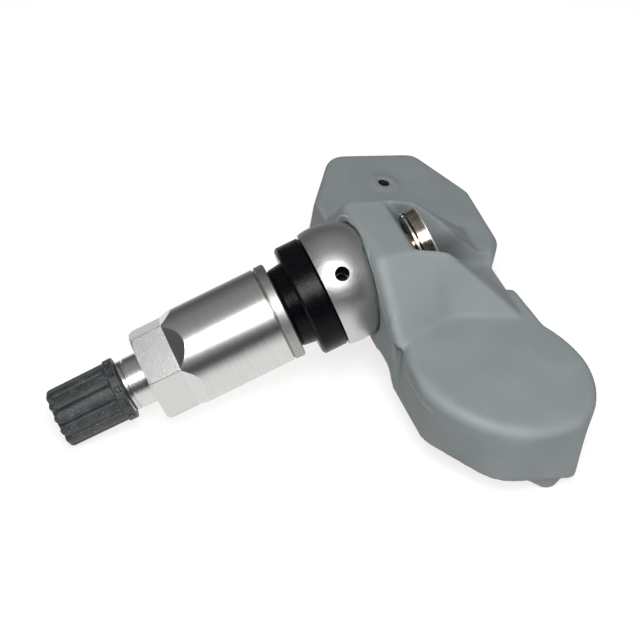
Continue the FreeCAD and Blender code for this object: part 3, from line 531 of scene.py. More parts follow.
@dataclass(frozen=True)
class StemAluminium:
    """Valve stem: satin dome, turned shank, threaded tip, and bores painted dark as shade."""

    line: Line
    shade: Colour = (0.75, 0.75, 0.74)
    light: Colour = (0.83, 0.83, 0.82)
    dome_shade: Colour = (0.4, 0.4, 0.4)
    # colour of the painted shade in the thread's grooves
    thread_shade: Colour = (0.3, 0.3, 0.3)
    bore_shade: Colour = (0.004, 0.004, 0.004)
    dome_front: float = 1.9
    tip_start: float = 31.1
    tip_wall: float = 3.2
    pitch: float = 0.794
    bore_radius: float = 2.0
    hole_turn_deg: float = -41.0
    hole_back: float = 1.0
    hole_radius: float = 1.02
    dark_radius: float = 8.3
    grain_per_mm: float = 3.2
    turning_per_mm: tuple[float, float, float] = (0.1, 0.1, 5.0)

    def material(self) -> bpy.types.Material:
        """Make the material.

        Returns:
            The material.
        """
        graph = MaterialGraph("stem_aluminium")
        where = self.line.place(graph)
        x, y, z = where.split()
        radius = x.length(y)
        grain = graph.noise(where, self.grain_per_mm, 4.0, 0.75)
        dome = 1 - z.step(self.dome_front, self.dome_front + 0.3)
        marks = graph.marks(where, self.turning_per_mm) * (1 - dome) + grain * dome
        ridge = abs(((z / self.pitch) - y.heading(x) * (1 / (2 * math.pi))).fraction() - 0.5) * 2
        tip = z.step(self.tip_start, self.tip_start + 0.1) * radius.step(self.tip_wall, self.tip_wall + 0.1)
        bore = z.step(1.0, 1.1) * (1 - radius.step(self.bore_radius, self.bore_radius + 0.1))
        # painted shade: the cross hole and the bore are painted near black and not metallic
        unlit = (self._in_hole(x, y, z) + bore * (1 - z.step(31.0, 31.1))).least(1.0)
        layers = (
            (dome * 0.2, self.dome_shade),
            # painted shade in the grooves of the thread on the tip
            (tip * (1 - ridge).step(0.35, 0.9) * 0.6, self.thread_shade),
            (unlit, self.bore_shade),
        )
        colour = graph.blend((marks * 0.6 + grain * 0.4).step(*MIDDLE), self.shade, self.light)
        for share, tint in layers:
            colour = graph.blend(share, colour, tint)
        rough = 0.28 + 0.09 * dome + 0.05 * (marks - 0.5) + 0.14 * dome * (grain - 0.5)
        graph.set(Base_Color=colour, Metallic=1 - unlit, Roughness=rough)
        graph.bump(marks * 0.008 + grain * dome * 0.5 + ridge * tip * 2.0, 0.1, 0.6)
        return graph.material

    def _in_hole(self, x: Wire, y: Wire, z: Wire) -> Wire:
        """Mask of the cross hole's wall, which is painted dark as shade.

        Args:
            x: Place across the valve, upwards.
            y: Place across the valve, sideways.
            z: Place along the valve.

        Returns:
            The mask.
        """
        turn = math.radians(self.hole_turn_deg)
        across = x * -math.sin(turn) + y * math.cos(turn)
        away = across.length(z + self.hole_back)
        outside = x.length(y, z).step(self.dark_radius, self.dark_radius + 0.2)
        return (1 - away.step(self.hole_radius, self.hole_radius + 0.04)) * (1 - outside)


@dataclass(frozen=True)
class Rubber:
    """Black moulded rubber, satin, with a dusty fine grain."""

    line: Line
    name: str = "rubber"
    shade: Colour = (0.0012, 0.0014, 0.002)
    light: Colour = (0.004, 0.0045, 0.006)
    gloss: float = 0.13
    grain_per_mm: float = 3.2
    smears_per_mm: tuple[float, float, float] = (0.5, 0.5, 1.4)

    def material(self) -> bpy.types.Material:
        """Make the material.

        Returns:
            The material.
        """
        graph = MaterialGraph(self.name)
        where = self.line.place(graph)
        grain = graph.noise(where, self.grain_per_mm, 4.0, 0.7)
        smears = graph.marks(where, self.smears_per_mm, 3.0, 0.5)
        graph.set(Base_Color=graph.blend(grain.step(0.35, 0.7), self.shade, self.light),
                  Roughness=0.2 + 0.25 * (smears - 0.4), Specular_IOR_Level=self.gloss)
        graph.bump(grain + smears, 0.05, 0.7)
        return graph.material


@dataclass(frozen=True)
class CapPlastic:
    """Dark grey plastic of the cap with the speckle of a spark-eroded mould."""

    line: Line
    shade: Colour = (0.026, 0.030, 0.032)
    light: Colour = (0.062, 0.068, 0.070)
    speck: Colour = (0.2, 0.205, 0.205)
    grain_per_mm: float = 4.0
    mottle_per_mm: float = 0.7

    def material(self) -> bpy.types.Material:
        """Make the material.

        Returns:
            The material.
        """
        graph = MaterialGraph("cap_plastic")
        where = self.line.place(graph)
        grain = graph.noise(where, self.grain_per_mm, 3.0, 0.75)
        mottle = graph.noise(where, self.mottle_per_mm, 3.0)
        colour = graph.blend((grain * 0.7 + mottle * 0.3).step(0.35, 0.68), self.shade, self.light)
        colour = graph.blend(grain.step(0.56, 0.68) * mottle.step(0.42, 0.58), colour, self.speck)
        graph.set(Base_Color=colour, Roughness=0.42 + 0.2 * (mottle - 0.5))
        graph.bump(grain, 0.06, 0.9)
        return graph.material


@dataclass(frozen=True)
class PlatedSteel:
    """Nickel plate over brushed steel, with a painted highlight from a distance behind the ball.

    The distance that it has by itself is past the sensor's end, so no highlight is painted there.
    """

    line: Line
    name: str
    shade: Colour = (0.24, 0.21, 0.165)
    light: Colour = (0.66, 0.61, 0.52)
    rough: float = 0.2
    brushing_per_mm: tuple[float, float, float] = (3.5, 3.5, 0.25)
    # span behind the ball over which the painted highlight fades in
    painted_highlight: Span = (90.0, 91.0)
    painted_highlight_colour: Colour = (0.9, 0.88, 0.83)
    blotches_per_mm: float = 0.9

    def material(self) -> bpy.types.Material:
        """Make the material.

        Returns:
            The material.
        """
        graph = MaterialGraph(self.name)
        where = self.line.place(graph)
        _, _, z = where.split()
        # painted highlight on the back rim of the screw's head
        painted_highlight = (z * -1).step(*self.painted_highlight)
        brushing = graph.marks(where, self.brushing_per_mm, 4.0, 0.7)
        blotches = graph.noise(where, self.blotches_per_mm, 3.0)
        colour = graph.blend((brushing * 0.6 + blotches * 0.4).step(*MIDDLE), self.shade, self.light)
        colour = graph.blend(painted_highlight, colour, self.painted_highlight_colour)
        rough = self.rough + 0.18 * (brushing - 0.5) + 0.1 * (blotches - 0.5) + 0.4 * painted_highlight
        graph.set(Base_Color=colour, Metallic=1.0, Roughness=rough)
        graph.bump(brushing, 0.01, 0.5)
        return graph.material


@dataclass(frozen=True)
class Brass:
    """Machined brass of the valve core, slightly tarnished."""

    line: Line
    shade: Colour = (0.55, 0.38, 0.16)
    light: Colour = (0.78, 0.60, 0.30)
    turning_per_mm: tuple[float, float, float] = (0.3, 0.3, 6.0)
    tarnish_per_mm: float = 0.8

    def material(self) -> bpy.types.Material:
        """Make the material.

        Returns:
            The material.
        """
        graph = MaterialGraph("brass")
        where = self.line.place(graph)
        turning = graph.marks(where, self.turning_per_mm, 3.0, 0.5)
        tarnish = graph.noise(where, self.tarnish_per_mm, 4.0, 0.6)
        graph.set(Base_Color=graph.blend(tarnish.step(0.35, 0.7), self.light, self.shade), Metallic=1.0,
                  Roughness=0.22 + 0.2 * (turning - 0.5) + 0.15 * (tarnish - 0.5))
        graph.bump(turning, 0.01, 0.5)
        return graph.material


@dataclass(frozen=True)
class Laminate:
    """Green lacquered board with its copper tracks showing through."""

    line: Line
    lacquer: Colour = (0.012, 0.085, 0.035)
    track: Colour = (0.03, 0.19, 0.07)
    solder: Colour = (0.6, 0.6, 0.58)
    tracks_per_mm: Span = (0.9, 0.55)
    areas_per_mm: tuple[float, float, float] = (0.4, 0.4, 0.0)
    pads_per_mm: tuple[float, float, float] = (0.45, 0.45, 0.0)
    weave_per_mm: float = 6.0

    def material(self) -> bpy.types.Material:
        """Make the material.

        Returns:
            The material.
        """
        graph = MaterialGraph("laminate")
        where = self.line.place(graph)
        x, y, _ = where.split()
        rows = abs((x * self.tracks_per_mm[0]).fraction() - 0.5).step(0.16, 0.2)
        turns = abs((y * self.tracks_per_mm[1]).fraction() - 0.5).step(0.1, 0.14)
        areas = graph.marks(where, self.areas_per_mm, 0.0, 0.5).step(0.49, 0.51)
        tracks = rows * areas + turns * (1 - areas)
        weave = graph.noise(where, self.weave_per_mm, 1.0)
        dots = graph.node("ShaderNodeTexVoronoi", {}, {"Vector": graph.stretch(where, self.pads_per_mm),
                                                       "Scale": 1.0, "Randomness": 0.7}, "Distance")
        pads = 1 - dots.step(0.1, 0.13)
        colour = graph.blend(tracks * 0.8 + weave * 0.15, self.lacquer, self.track)
        colour = graph.blend(pads, colour, self.solder)
        graph.set(Base_Color=colour, Roughness=0.3 + 0.1 * weave, Metallic=pads)
        graph.bump(tracks * 0.6 + pads + weave * 0.1, 0.03, 0.5)
        return graph.material


@dataclass(frozen=True)
class Grained:
    """Plain mineral or moulded stuff with its grain: chip package, ferrite, filter."""

    line: Line
    name: str
    shade: Colour
    light: Colour
    rough: float
    grain_per_mm: float = 6.0
    depth_mm: float = 0.01
    clouds_per_mm: float = 0.6

    def material(self) -> bpy.types.Material:
        """Make the material.

        Returns:
            The material.
        """
        graph = MaterialGraph(self.name)
        where = self.line.place(graph)
        grain = graph.noise(where, self.grain_per_mm, 4.0, 0.65)
        clouds = graph.noise(where, self.clouds_per_mm, 2.0)
        tone = (grain * 0.6 + clouds * 0.4).step(*MIDDLE)
        graph.set(Base_Color=graph.blend(tone, self.shade, self.light),
                  Roughness=self.rough + 0.12 * (grain - 0.5))
        graph.bump(grain, self.depth_mm, 0.6)
        return graph.material


@dataclass(frozen=True)
class WoundCopper:
    """Lacquered copper wire, wound side by side along the housing's Y."""

    line: Line
    wire_mm: float = 0.12
    lead: float = 0.4
    shade: Colour = (0.20, 0.07, 0.03)
    light: Colour = (0.80, 0.40, 0.20)
    shine_per_mm: float = 2.0

    def material(self) -> bpy.types.Material:
        """Make the material.

        Returns:
            The material.
        """
        graph = MaterialGraph("wound_copper")
        where = self.line.place(graph)
        x, y, _ = where.split()
        crest = 1 - abs((y / self.wire_mm + x * self.lead).fraction() - 0.5) * 2
        shine = graph.noise(where, self.shine_per_mm, 3.0)
        # painted shade: the grooves between the turns are darker than the crests
        graph.set(Base_Color=graph.blend(crest.step(0.1, 0.7), self.shade, self.light), Metallic=1.0,
                  Roughness=0.25 + 0.2 * (shine - 0.5))
        graph.bump(crest, self.wire_mm / 2, 0.7)
        return graph.material


def direction(azimuth: float, elevation: float) -> Vector:
    """Unit vector from the object towards a place in the studio.

    Args:
        azimuth: Angle round the object, in degrees.
        elevation: Angle above the floor, in degrees.

    Returns:
        The vector.
    """
    turn = math.radians(azimuth)
    rise = math.radians(elevation)
    return Vector((math.sin(turn) * math.cos(rise), -math.cos(turn) * math.cos(rise), math.sin(rise)))


@dataclass(frozen=True)
class Lamp:
    """Square lamp that looks at the ball, with its place in degrees and metres and its power in watts."""

    name: str
    azimuth: float
    elevation: float
    away: float
    side: float
    power: float
    mirrored: bool = True

    def build(self, ball: Vector) -> None:
        """Make the lamp.

        Args:
            ball: Point that it looks at.
        """
        data = bpy.data.lights.new(self.name, "AREA")
        data.size = self.side
        data.energy = self.power
        lamp = bpy.data.objects.new(self.name, data)
        bpy.context.scene.collection.objects.link(lamp)
        away = direction(self.azimuth, self.elevation) * self.away
        lamp.location = ball + away
        lamp.rotation_mode = "QUATERNION"
        lamp.rotation_quaternion = (-away).to_track_quat("-Z", "Y")
        lamp.visible_glossy = self.mirrored


@dataclass(frozen=True)
class Studio:
    """Floor, lamps, world and the camera at the photograph's viewing angle."""

    ball: Vector
    lean_deg: float
    focal_px: float = 1650.0
    picture_px: float = 640.0
    sensor_mm: float = 36.0
    azimuth: float = -19.3
    elevation: float = 40.9
    roll: float = -0.2
    depth_mm: float = 227.0
    ball_px: Span = (334.9, 284.1)
    lamps: tuple[Lamp, ...] = (
        Lamp("key", -19.3, 56.7, 0.22, 0.098, 0.368),
        Lamp("fill", 4.0, 22.0, 0.17, 0.08, 0.08, mirrored=False),
        Lamp("back", 172.0, 13.0, 0.34, 0.13, 0.15, mirrored=False),
    )
    sky: Colour = (0.97, 0.99, 1.0)
    ambient: float = 0.32
    behind: float = 0.06
    ceiling_rise: Span = (0.2, 0.95)
    ceiling_glow: Span = (0.05, 0.29)
    floor_half: float = 2.0
    floor_grey: Colour = (0.35, 0.35, 0.35)
    floor_seen: Colour = (0.95, 0.965, 0.97)
    floor_glow: Colour = (1.0, 0.985, 0.975)
    floor_power: float = 1.25
    floor_share: float = 0.6
    near_floor: Span = (0.035, 0.08)

    def build(self) -> None:
        """Make the floor, the world, the camera and the lamps."""
        self._floor()
        self._world()
        self._camera()
        for lamp in self.lamps:
            lamp.build(self.ball)

    def _floor(self) -> None:
        """Pale floor that shows white to the camera and in reflections, and keeps the shadow."""
        mesh = bpy.data.meshes.new("floor")
        shape = bmesh.new()
        bmesh.ops.create_grid(shape, x_segments=1, y_segments=1, size=self.floor_half)
        shape.to_mesh(mesh)
        shape.free()
        floor = bpy.data.objects.new("floor", mesh)
        bpy.context.scene.collection.objects.link(floor)
        graph = MaterialGraph("floor")
        seen = graph.ray("Camera").most(graph.ray("Transmission"))
        x, y, _ = graph.node("ShaderNodeTexCoord", {}, {}, "Object").split()
        near = 1 - x.length(y).step(*self.near_floor)
        graph.set(Base_Color=graph.blend(seen, self.floor_grey, self.floor_seen), Roughness=0.9,
                  Specular_IOR_Level=0.0)
        glow = graph.node("ShaderNodeEmission", {}, {"Color": self.floor_glow, "Strength": self.floor_power})
        share = (seen * self.floor_share).most(graph.ray("Glossy") * near * self.floor_share)
        plain = Wire(graph, graph.shader.outputs[0])
        both = graph.node("ShaderNodeMixShader", {}, {0: share, 1: plain, 2: glow})
        graph.join(graph.tree.nodes["Material Output"].inputs["Surface"], both)
        mesh.materials.append(graph.material)

    def _world(self) -> None:
        """Soft light from all round. Reflections see a dark room with a paler ceiling."""
        world = bpy.data.worlds.new("studio")
        world.use_nodes = True
        bpy.context.scene.world = world
        graph = Graph(world.node_tree)
        soft = graph.tree.nodes["Background"]
        graph.join(soft.inputs["Strength"], self.ambient)
        graph.join(soft.inputs["Color"], self.sky)
        _, y, z = graph.node("ShaderNodeTexCoord", {}, {}, "Generated").split()
        ceiling = z.step(*self.ceiling_rise, *self.ceiling_glow)
        strength = graph.node("ShaderNodeMath", {"operation": "MULTIPLY_ADD"},
                              {0: y, 1: self.behind, 2: ceiling})
        room = graph.node("ShaderNodeBackground", {}, {"Strength": strength})
        everywhere = Wire(graph, soft.outputs[0])
        both = graph.node("ShaderNodeMixShader", {}, {0: graph.ray("Glossy"), 1: everywhere, 2: room})
        graph.join(graph.tree.nodes["World Output"].inputs["Surface"], both)

    def _camera(self) -> None:
        """Camera at the photograph's viewing angle."""
        data = bpy.data.cameras.new("camera")
        data.sensor_width = self.sensor_mm
        data.lens = self.focal_px / self.picture_px * data.sensor_width
        data.clip_start = 0.01
        data.clip_end = 10.0
        camera = bpy.data.objects.new("camera", data)
        bpy.context.scene.collection.objects.link(camera)
        back = direction(self.azimuth, self.elevation)
        pose = (-back).to_track_quat("-Z", "Y").to_matrix()
        pose = pose @ Matrix.Rotation(math.radians(self.roll), 3, "Z")
        pose = Matrix.Rotation(math.radians(self.lean_deg), 3, "Y") @ pose
        half = self.picture_px / 2
        offset = Vector((self.ball_px[0] - half, half - self.ball_px[1], 0)) / self.focal_px
        offset.z = -1
        camera.location = self.ball - pose @ (offset * self.depth_mm * MM)
        camera.rotation_mode = "QUATERNION"
        camera.rotation_quaternion = pose.to_quaternion()
        bpy.context.scene.camera = camera


def clamped(value: float) -> float:
    """Value kept between 0 and 1."""
    return min(max(value, 0.0), 1.0)


def shares(steps: int) -> list[float]:
    """Even steps from 0 to 1."""
    return [step / steps for step in range(steps + 1)]


def merged_copy(*nodes: str) -> bmesh.types.BMesh:
    """Copy of one or more nodes' meshes as one, with its doubles merged.

    Args:
        nodes: Names of the nodes.

    Returns:
        The copy, in the row frame.
    """
    shape = bmesh.new()
    for name in nodes:
        shape.from_mesh(FRAME["nodes"][name].data)
    bmesh.ops.remove_doubles(shape, verts=shape.verts, dist=1e-7)
    return shape


def remeshed(shape: bmesh.types.BMesh, cell_mm: float) -> bmesh.types.BMesh:
    """Even skin over a shape.

    Args:
        shape: Closed shape, which is freed.
        cell_mm: Size of the cells.

    Returns:
        The new skin, in the row frame.
    """
    bmesh.ops.scale(shape, vec=(TO_MM,) * 3, verts=shape.verts)
    mesh = bpy.data.meshes.new("skin")
    shape.to_mesh(mesh)
    shape.free()
    body = bpy.data.objects.new("skin", mesh)
    bpy.context.scene.collection.objects.link(body)
    even = body.modifiers.new("even", "REMESH")
    even.mode = "VOXEL"
    even.voxel_size = cell_mm
    view = bpy.context.evaluated_depsgraph_get()
    skin = bmesh.new()
    skin.from_object(body, view)
    bpy.data.objects.remove(body)
    bpy.data.meshes.remove(mesh)
    bmesh.ops.scale(skin, vec=(MM,) * 3, verts=skin.verts)
    return skin


def soften(shape: bmesh.types.BMesh, vertices: list[bmesh.types.BMVert], passes: int) -> None:
    """Smooth some vertices of a skin towards their neighbours.

    Args:
        shape: The skin.
        vertices: Its vertices that move.
        passes: How many times they move.
    """
    for _ in range(passes):
        bmesh.ops.smooth_vert(shape, verts=vertices, factor=0.5, use_axis_x=True, use_axis_y=True,
                              use_axis_z=True)


def cut(shape: bmesh.types.BMesh, at: Vector, normal: Vector, **sides: bool) -> list[bmesh.types.BMEdge]:
    """Cut a shape along a plane.

    Args:
        shape: The shape.
        at: Point of the plane.
        normal: Its direction.
        sides: Which side is taken away, as clear_inner or clear_outer.

    Returns:
        The edges in the cut.
    """
    geometry = list(shape.verts) + list(shape.edges) + list(shape.faces)
    found = bmesh.ops.bisect_plane(shape, geom=geometry, dist=1e-8, plane_co=at, plane_no=normal, **sides)
    return [item for item in found["geom_cut"] if isinstance(item, bmesh.types.BMEdge)]


def mark_edges(shape: bmesh.types.BMesh, full_mm: float) -> None:
    """Store how sharply each vertex stands out of its neighbours, for the wear on edges.

    Args:
        shape: Skin of even cells.
        full_mm: Height over the neighbours that counts as 1.
    """
    layer = shape.verts.layers.float.new(EDGE)
    shape.normal_update()
    for vertex in shape.verts:
        around = Vector()
        for edge in vertex.link_edges:
            around += edge.other_vert(vertex).co
        height = (vertex.co - around / len(vertex.link_edges)).dot(vertex.normal)
        vertex[layer] = clamped(height / (full_mm * MM))


def finished(shape: bmesh.types.BMesh, name: str, material: bpy.types.Material, body: str, slot: str,
             *nodes: str, crease_deg: float = 0.0) -> None:
    """Turn a shape into a piece that rides on a body and stands for nodes.

    Args:
        shape: The shape, which is freed.
        name: Name of the piece.
        material: Its material.
        body: Body that it rides on.
        slot: Material slot of the record; not used.
        nodes: Nodes that it replaces.
        crease_deg: Angle from which an edge stays sharp, or 0 for a piece without sharp edges.
    """
    for face in shape.faces:
        face.smooth = True
    if crease_deg:
        least = math.radians(crease_deg)
        creases = [edge for edge in shape.edges if edge.calc_face_angle(0.0) > least]
        bmesh.ops.split_edges(shape, edges=creases)
    mesh = bpy.data.meshes.new(name)
    shape.to_mesh(mesh)
    shape.free()
    mesh.materials.append(material)
    piece = bpy.data.objects.new(name, mesh)
    bpy.context.scene.collection.objects.link(piece)
    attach(piece, body)
    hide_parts(*nodes)
    LOG.info("made %s with %d faces", name, len(mesh.polygons))


class Moulding(Enum):
    """The two mouldings of the housing, each with the name of its piece and of its node."""

    UPPER = ("housing_upper", "housing_shell")
    LOWER = ("housing_lower", "housing_base")


@dataclass(frozen=True)
class Housing:
    """Moulded housing: the two solids as one soft-edged skin, parted again at the weld."""

    line: Line
    plan: HousingPlan = HousingPlan()
    cell: float = 0.3
    passes: int = 6
    seam: float = -2.5
    edge_height: float = 0.05
    seat_radius: float = 8.59
    seat_share: float = 0.97
    weld_slack: float = 0.001
    rim_radius: float = 9.3
    rim_half: float = 0.2
    rim_rounds: int = 4
    rim_passes: int = 2
    front_reach: float = 1.6
    front_half: float = 12.0
    front_passes: int = 32
    port_reach: float = 2.4
    port_depth: float = 3.0
    port_passes: int = 2
    port_middle: float = 0.1

    def build(self) -> None:
        """Make the upper and the lower skin."""
        shape = merged_copy("housing_shell", "housing_base")
        self._open_weld(shape)
        skin = remeshed(shape, self.cell)
        near_port = [vertex for vertex in skin.verts if self._port_distance(vertex) < self.port_reach]
        others = [vertex for vertex in skin.verts if self._port_distance(vertex) >= self.port_reach]
        soften(skin, near_port, self.port_passes)
        soften(skin, others, self.passes)
        soften(skin, [vertex for vertex in skin.verts if self._on_front(vertex)], self.front_passes)
        rim = [vertex for vertex in skin.verts if self._in_rim(vertex)]
        for _ in range(self.rim_rounds):
            self._keep_seat(skin)
            soften(skin, rim, self.rim_passes)
        self._keep_seat(skin)
        self._keep_port(near_port)
        mark_edges(skin, self.edge_height)
        material = MouldedPlastic(self.line, self.plan).material()
        for moulding in Moulding:
            half = skin.copy()
            self._part(half, moulding)
            piece, node = moulding.value
            finished(half, piece, material, "housing", "housing", node)
        skin.free()

    def _open_weld(self, shape: bmesh.types.BMesh) -> None:
        """Take out the faces at which the two solids touch.

        Args:
            shape: Both solids as one shape.
        """
        touching = []
        for face in shape.faces:
            levels = [self.line.local(vertex.co).z for vertex in face.verts]
            if all(abs(level - self.seam) < self.weld_slack for level in levels):
                touching.append(face)
        bmesh.ops.delete(shape, geom=touching, context="FACES")

    def _keep_seat(self, skin: bmesh.types.BMesh) -> None:
        """Push the skin back to the joint's seat where the softening reached past it.

        Args:
            skin: Skin of the whole housing.
        """
        least = self.seat_radius * MM
        for vertex in skin.verts:
            away = vertex.co - self.line.ball
            if away.length < least:
                vertex.co = self.line.ball + away.normalized() * least

    def _in_rim(self, vertex: bmesh.types.BMVert) -> bool:
        """Whether a vertex is in the seat or at its rim."""
        away = (vertex.co - self.line.ball).length / MM
        return self.seat_radius * self.seat_share < away < self.rim_radius + self.rim_half

    def _port_distance(self, vertex: bmesh.types.BMVert) -> float:
        """Distance of a vertex from the port's axis.

        Args:
            vertex: Vertex of the skin.

        Returns:
            The distance, without end for a vertex far below the port.
        """
        spot = self.line.local(vertex.co)
        if spot.z < -self.port_depth:
            return math.inf
        return math.hypot(spot.x - self.plan.port[0], spot.y - self.plan.port[1])

    def _keep_port(self, vertices: list[bmesh.types.BMVert]) -> None:
        """Push the skin back to the wall of the port.

        Args:
            vertices: Vertices of the skin near the port.
        """
        for vertex in vertices:
            away = self._port_distance(vertex)
            if self.port_middle < away < self.plan.port_radius:
                spot = self.line.local(vertex.co)
                spot.x = self.plan.port[0] + (spot.x - self.plan.port[0]) * self.plan.port_radius / away
                spot.y = self.plan.port[1] + (spot.y - self.plan.port[1]) * self.plan.port_radius / away
                vertex.co = self.line.world(spot)

    def _on_front(self, vertex: bmesh.types.BMVert) -> bool:
        """Whether a vertex is near the edge of the slanted front, and not at the seat's rim.

        Args:
            vertex: Vertex of the skin.

        Returns:
            True if it is.
        """
        spot = self.line.local(vertex.co)
        near = abs(spot.y) < self.front_half and math.hypot(spot.y, spot.z) > self.rim_radius
        return near and abs(self.plan.behind_front(spot.x, spot.z)) < self.front_reach

    def _part(self, skin: bmesh.types.BMesh, moulding: Moulding) -> None:
        """Keep one side of the weld and close the cut.

        Args:
            skin: Skin of the whole housing.
            moulding: Which side is kept.
        """
        above = moulding is Moulding.UPPER
        level = self.line.world(Vector((0, 0, self.seam)))
        normal = self.line.turn @ Vector((0, 0, 1))
        edges = cut(skin, level, normal, clear_inner=above, clear_outer=not above)
        bmesh.ops.triangle_fill(skin, edges=edges, use_beauty=True, normal=-normal if above else normal)
        bmesh.ops.split_edges(skin, edges=[edge for edge in edges if edge.is_valid])


@dataclass(frozen=True)
class Cap:
    """Dust cap with twelve rounded ribs, a collar with pockets and a scalloped end."""

    line: Line
    ribs: int = 12
    per_rib: int = 26
    mouth: float = 32.05
    mouth_bevel: float = 0.15
    end: float = 42.2
    end_start: float = 0.3
    end_steps: int = 12
    bore: float = 3.68
    roof: float = 41.1
    roof_start: float = 0.6
    collar_radius: float = 4.5
    collar_length: float = 1.35
    collar_bevel: float = 0.12
    collar_steps: int = 14
    foot: float = 0.04
    radius: float = 4.25
    side_steps: int = 44
    end_radius: float = 4.17
    end_round: float = 0.75
    round_steps: int = 8
    groove_depth: float = 0.28
    groove_half: float = 0.13
    groove_run_in: float = 0.3
    notch_depth: float = 0.95
    notch_half: float = 0.4
    notch_length: float = 1.5
    rib_crown: float = 0.1
    middle_radius: float = 2.35
    middle_fade: float = 0.5
    middle_dip: float = 0.12
    pocket_depth: float = 0.25
    pocket_half: float = 0.45
    pocket_length: float = 0.7
    pocket_edge: float = 0.08

    def build(self) -> None:
        """Make the cap."""
        shape = bmesh.new()
        count = self.ribs * self.per_rib
        rings = []
        for radius, height, outward in self._profile():
            ring = []
            for step in range(count):
                angle = 2 * math.pi * step / count
                sunk = self._depth(angle, radius, height, outward)
                away = radius - outward[0] * sunk
                spot = Vector((away * math.cos(angle), away * math.sin(angle), height - outward[1] * sunk))
                ring.append(shape.verts.new(self.line.world(spot)))
            rings.append(ring)
        for near, far in zip(rings, rings[1:]):
            for step in range(count):
                ahead = (step + 1) % count
                shape.faces.new((near[step], near[ahead], far[ahead], far[step]))
        shape.faces.new(rings[0][::-1])
        shape.faces.new(rings[-1])
        bmesh.ops.recalc_face_normals(shape, faces=shape.faces)
        material = CapPlastic(self.line).material()
        finished(shape, "ribbed_cap", material, "cap", "cap", "valve_cap", crease_deg=50.0)

    def _profile(self) -> list[tuple[float, float, Span]]:
        """Half section from the middle of the roof round the mouth to the middle of the end.

        Returns:
            Radius, height and outward direction of each point, with no direction where it stays plain.
        """
        plain = (0.0, 0.0)
        side = (1.0, 0.0)
        collar_end = self.mouth + self.collar_length
        collar_edge = self.collar_radius - self.collar_bevel
        points = [(self.roof_start, self.roof, plain), (self.bore, self.roof, plain),
                  (self.bore, self.mouth + self.mouth_bevel, plain),
                  (self.bore + self.mouth_bevel, self.mouth, plain), (collar_edge, self.mouth, plain)]
        for share in shares(self.collar_steps):
            height = self.mouth + self.collar_bevel + (self.collar_length - 2 * self.collar_bevel) * share
            points.append((self.collar_radius, height, side))
        points.append((collar_edge, collar_end, plain))
        shoulder = self.end - self.end_round
        foot = collar_end + self.foot
        for share in shares(self.side_steps):
            radius = self.radius + (self.end_radius - self.radius) * share
            points.append((radius, foot + (shoulder - foot) * share, side))
        for share in shares(self.round_steps)[1:]:
            outward = (math.cos(math.pi / 2 * share), math.sin(math.pi / 2 * share))
            radius = self.end_radius - self.end_round * (1 - outward[0])
            points.append((radius, shoulder + self.end_round * outward[1], outward))
        start = self.end_radius - self.end_round
        for share in shares(self.end_steps)[1:]:
            points.append((start + (self.end_start - start) * share, self.end, (0.0, 1.0)))
        return points

    def _depth(self, angle: float, radius: float, height: float, outward: Span) -> float:
        """How far the surface is sunk below the plain turned shape.

        Args:
            angle: Angle of the point about the cap's axis.
            radius: Its distance from the axis.
            height: Its place along the axis.
            outward: Direction of the profile there.

        Returns:
            The depth.
        """
        if outward == (0.0, 0.0):
            return 0.0
        pitch = 2 * math.pi / self.ribs
        share = angle / pitch % 1.0
        across = min(share, 1 - share) * pitch * radius
        collar_end = self.mouth + self.collar_length
        if height < collar_end:
            return self._pocket(abs(share - 0.5) * pitch * radius, height)
        near_end = clamped((height - self.end + self.notch_length) / self.notch_length) ** 2
        half = self.groove_half + (self.notch_half - self.groove_half) * near_end
        deep = self.groove_depth + (self.notch_depth - self.groove_depth) * near_end
        groove = deep * math.exp(-(across / half) ** 2)
        if outward[0] == 0.0:
            fade = clamped((radius - self.middle_radius) / self.middle_fade)
            return self.middle_dip * (1 - abs(fade * 2 - 1)) + fade * groove
        crown = self.rib_crown * (1 - 2 * across / (pitch * radius)) ** 2
        return (crown + groove) * clamped((height - collar_end) / self.groove_run_in)

    def _pocket(self, across: float, height: float) -> float:
        """Depth of the collar's pockets at a place.

        Args:
            across: Distance from the middle of the nearest pocket, round the collar.
            height: Place along the axis.

        Returns:
            The depth.
        """
        middle = self.mouth + self.collar_length / 2
        beside = clamped((self.pocket_half - across) / self.pocket_edge)
        along = clamped((self.pocket_length / 2 - abs(height - middle)) / self.pocket_edge)
        return self.pocket_depth * beside * along


@dataclass(frozen=True)
class Stem:
    """Valve stem whose dome goes over into the ball without an edge."""

    line: Line
    levels: tuple[float, ...] = (1.4, 0.9, 0.4, -0.1, -0.6, -1.1, -1.6, -2.1, -2.6, -3.2, -4.0, -5.0)
    front: float = 1.8
    least_radius: float = 7.2
    front_radius: float = 8.27
    ball_radius: float = 8.5
    tip_bore: float = 3.0
    groove: Span = (31.2, 31.45)
    groove_back: float = 0.4
    slack: float = 0.01

    def build(self) -> None:
        """Make the stem."""
        shape = merged_copy("valve_stem")
        normal = self.line.turn @ Vector((0, 0, 1))
        start, end = self.groove
        for level in self.levels:
            cut(shape, self.line.world(Vector((0, 0, level))), normal)
        for vertex in shape.verts:
            spot = self.line.local(vertex.co)
            radius = math.hypot(spot.x, spot.y)
            if radius > self.least_radius and self.levels[-1] < spot.z < self.front + self.slack:
                wide = self._radius(spot.z)
                vertex.co = self.line.world(Vector((spot.x * wide / radius, spot.y * wide / radius, spot.z)))
            elif radius > self.tip_bore and start - self.slack < spot.z < end + self.slack:
                vertex.co = self.line.world(spot - Vector((0, 0, self.groove_back)))
        material = StemAluminium(self.line).material()
        finished(shape, "stem", material, "valve", "aluminium", "valve_stem", crease_deg=20.0)

    def _radius(self, height: float) -> float:
        """Radius of the dome at a height."""
        wider = self.front_radius - self._ball(self.front)
        return self._ball(height) + wider * clamped(height / self.front)

    def _ball(self, height: float) -> float:
        """Radius of the ball at a height."""
        return math.sqrt(max(self.ball_radius ** 2 - height ** 2, 0.0))


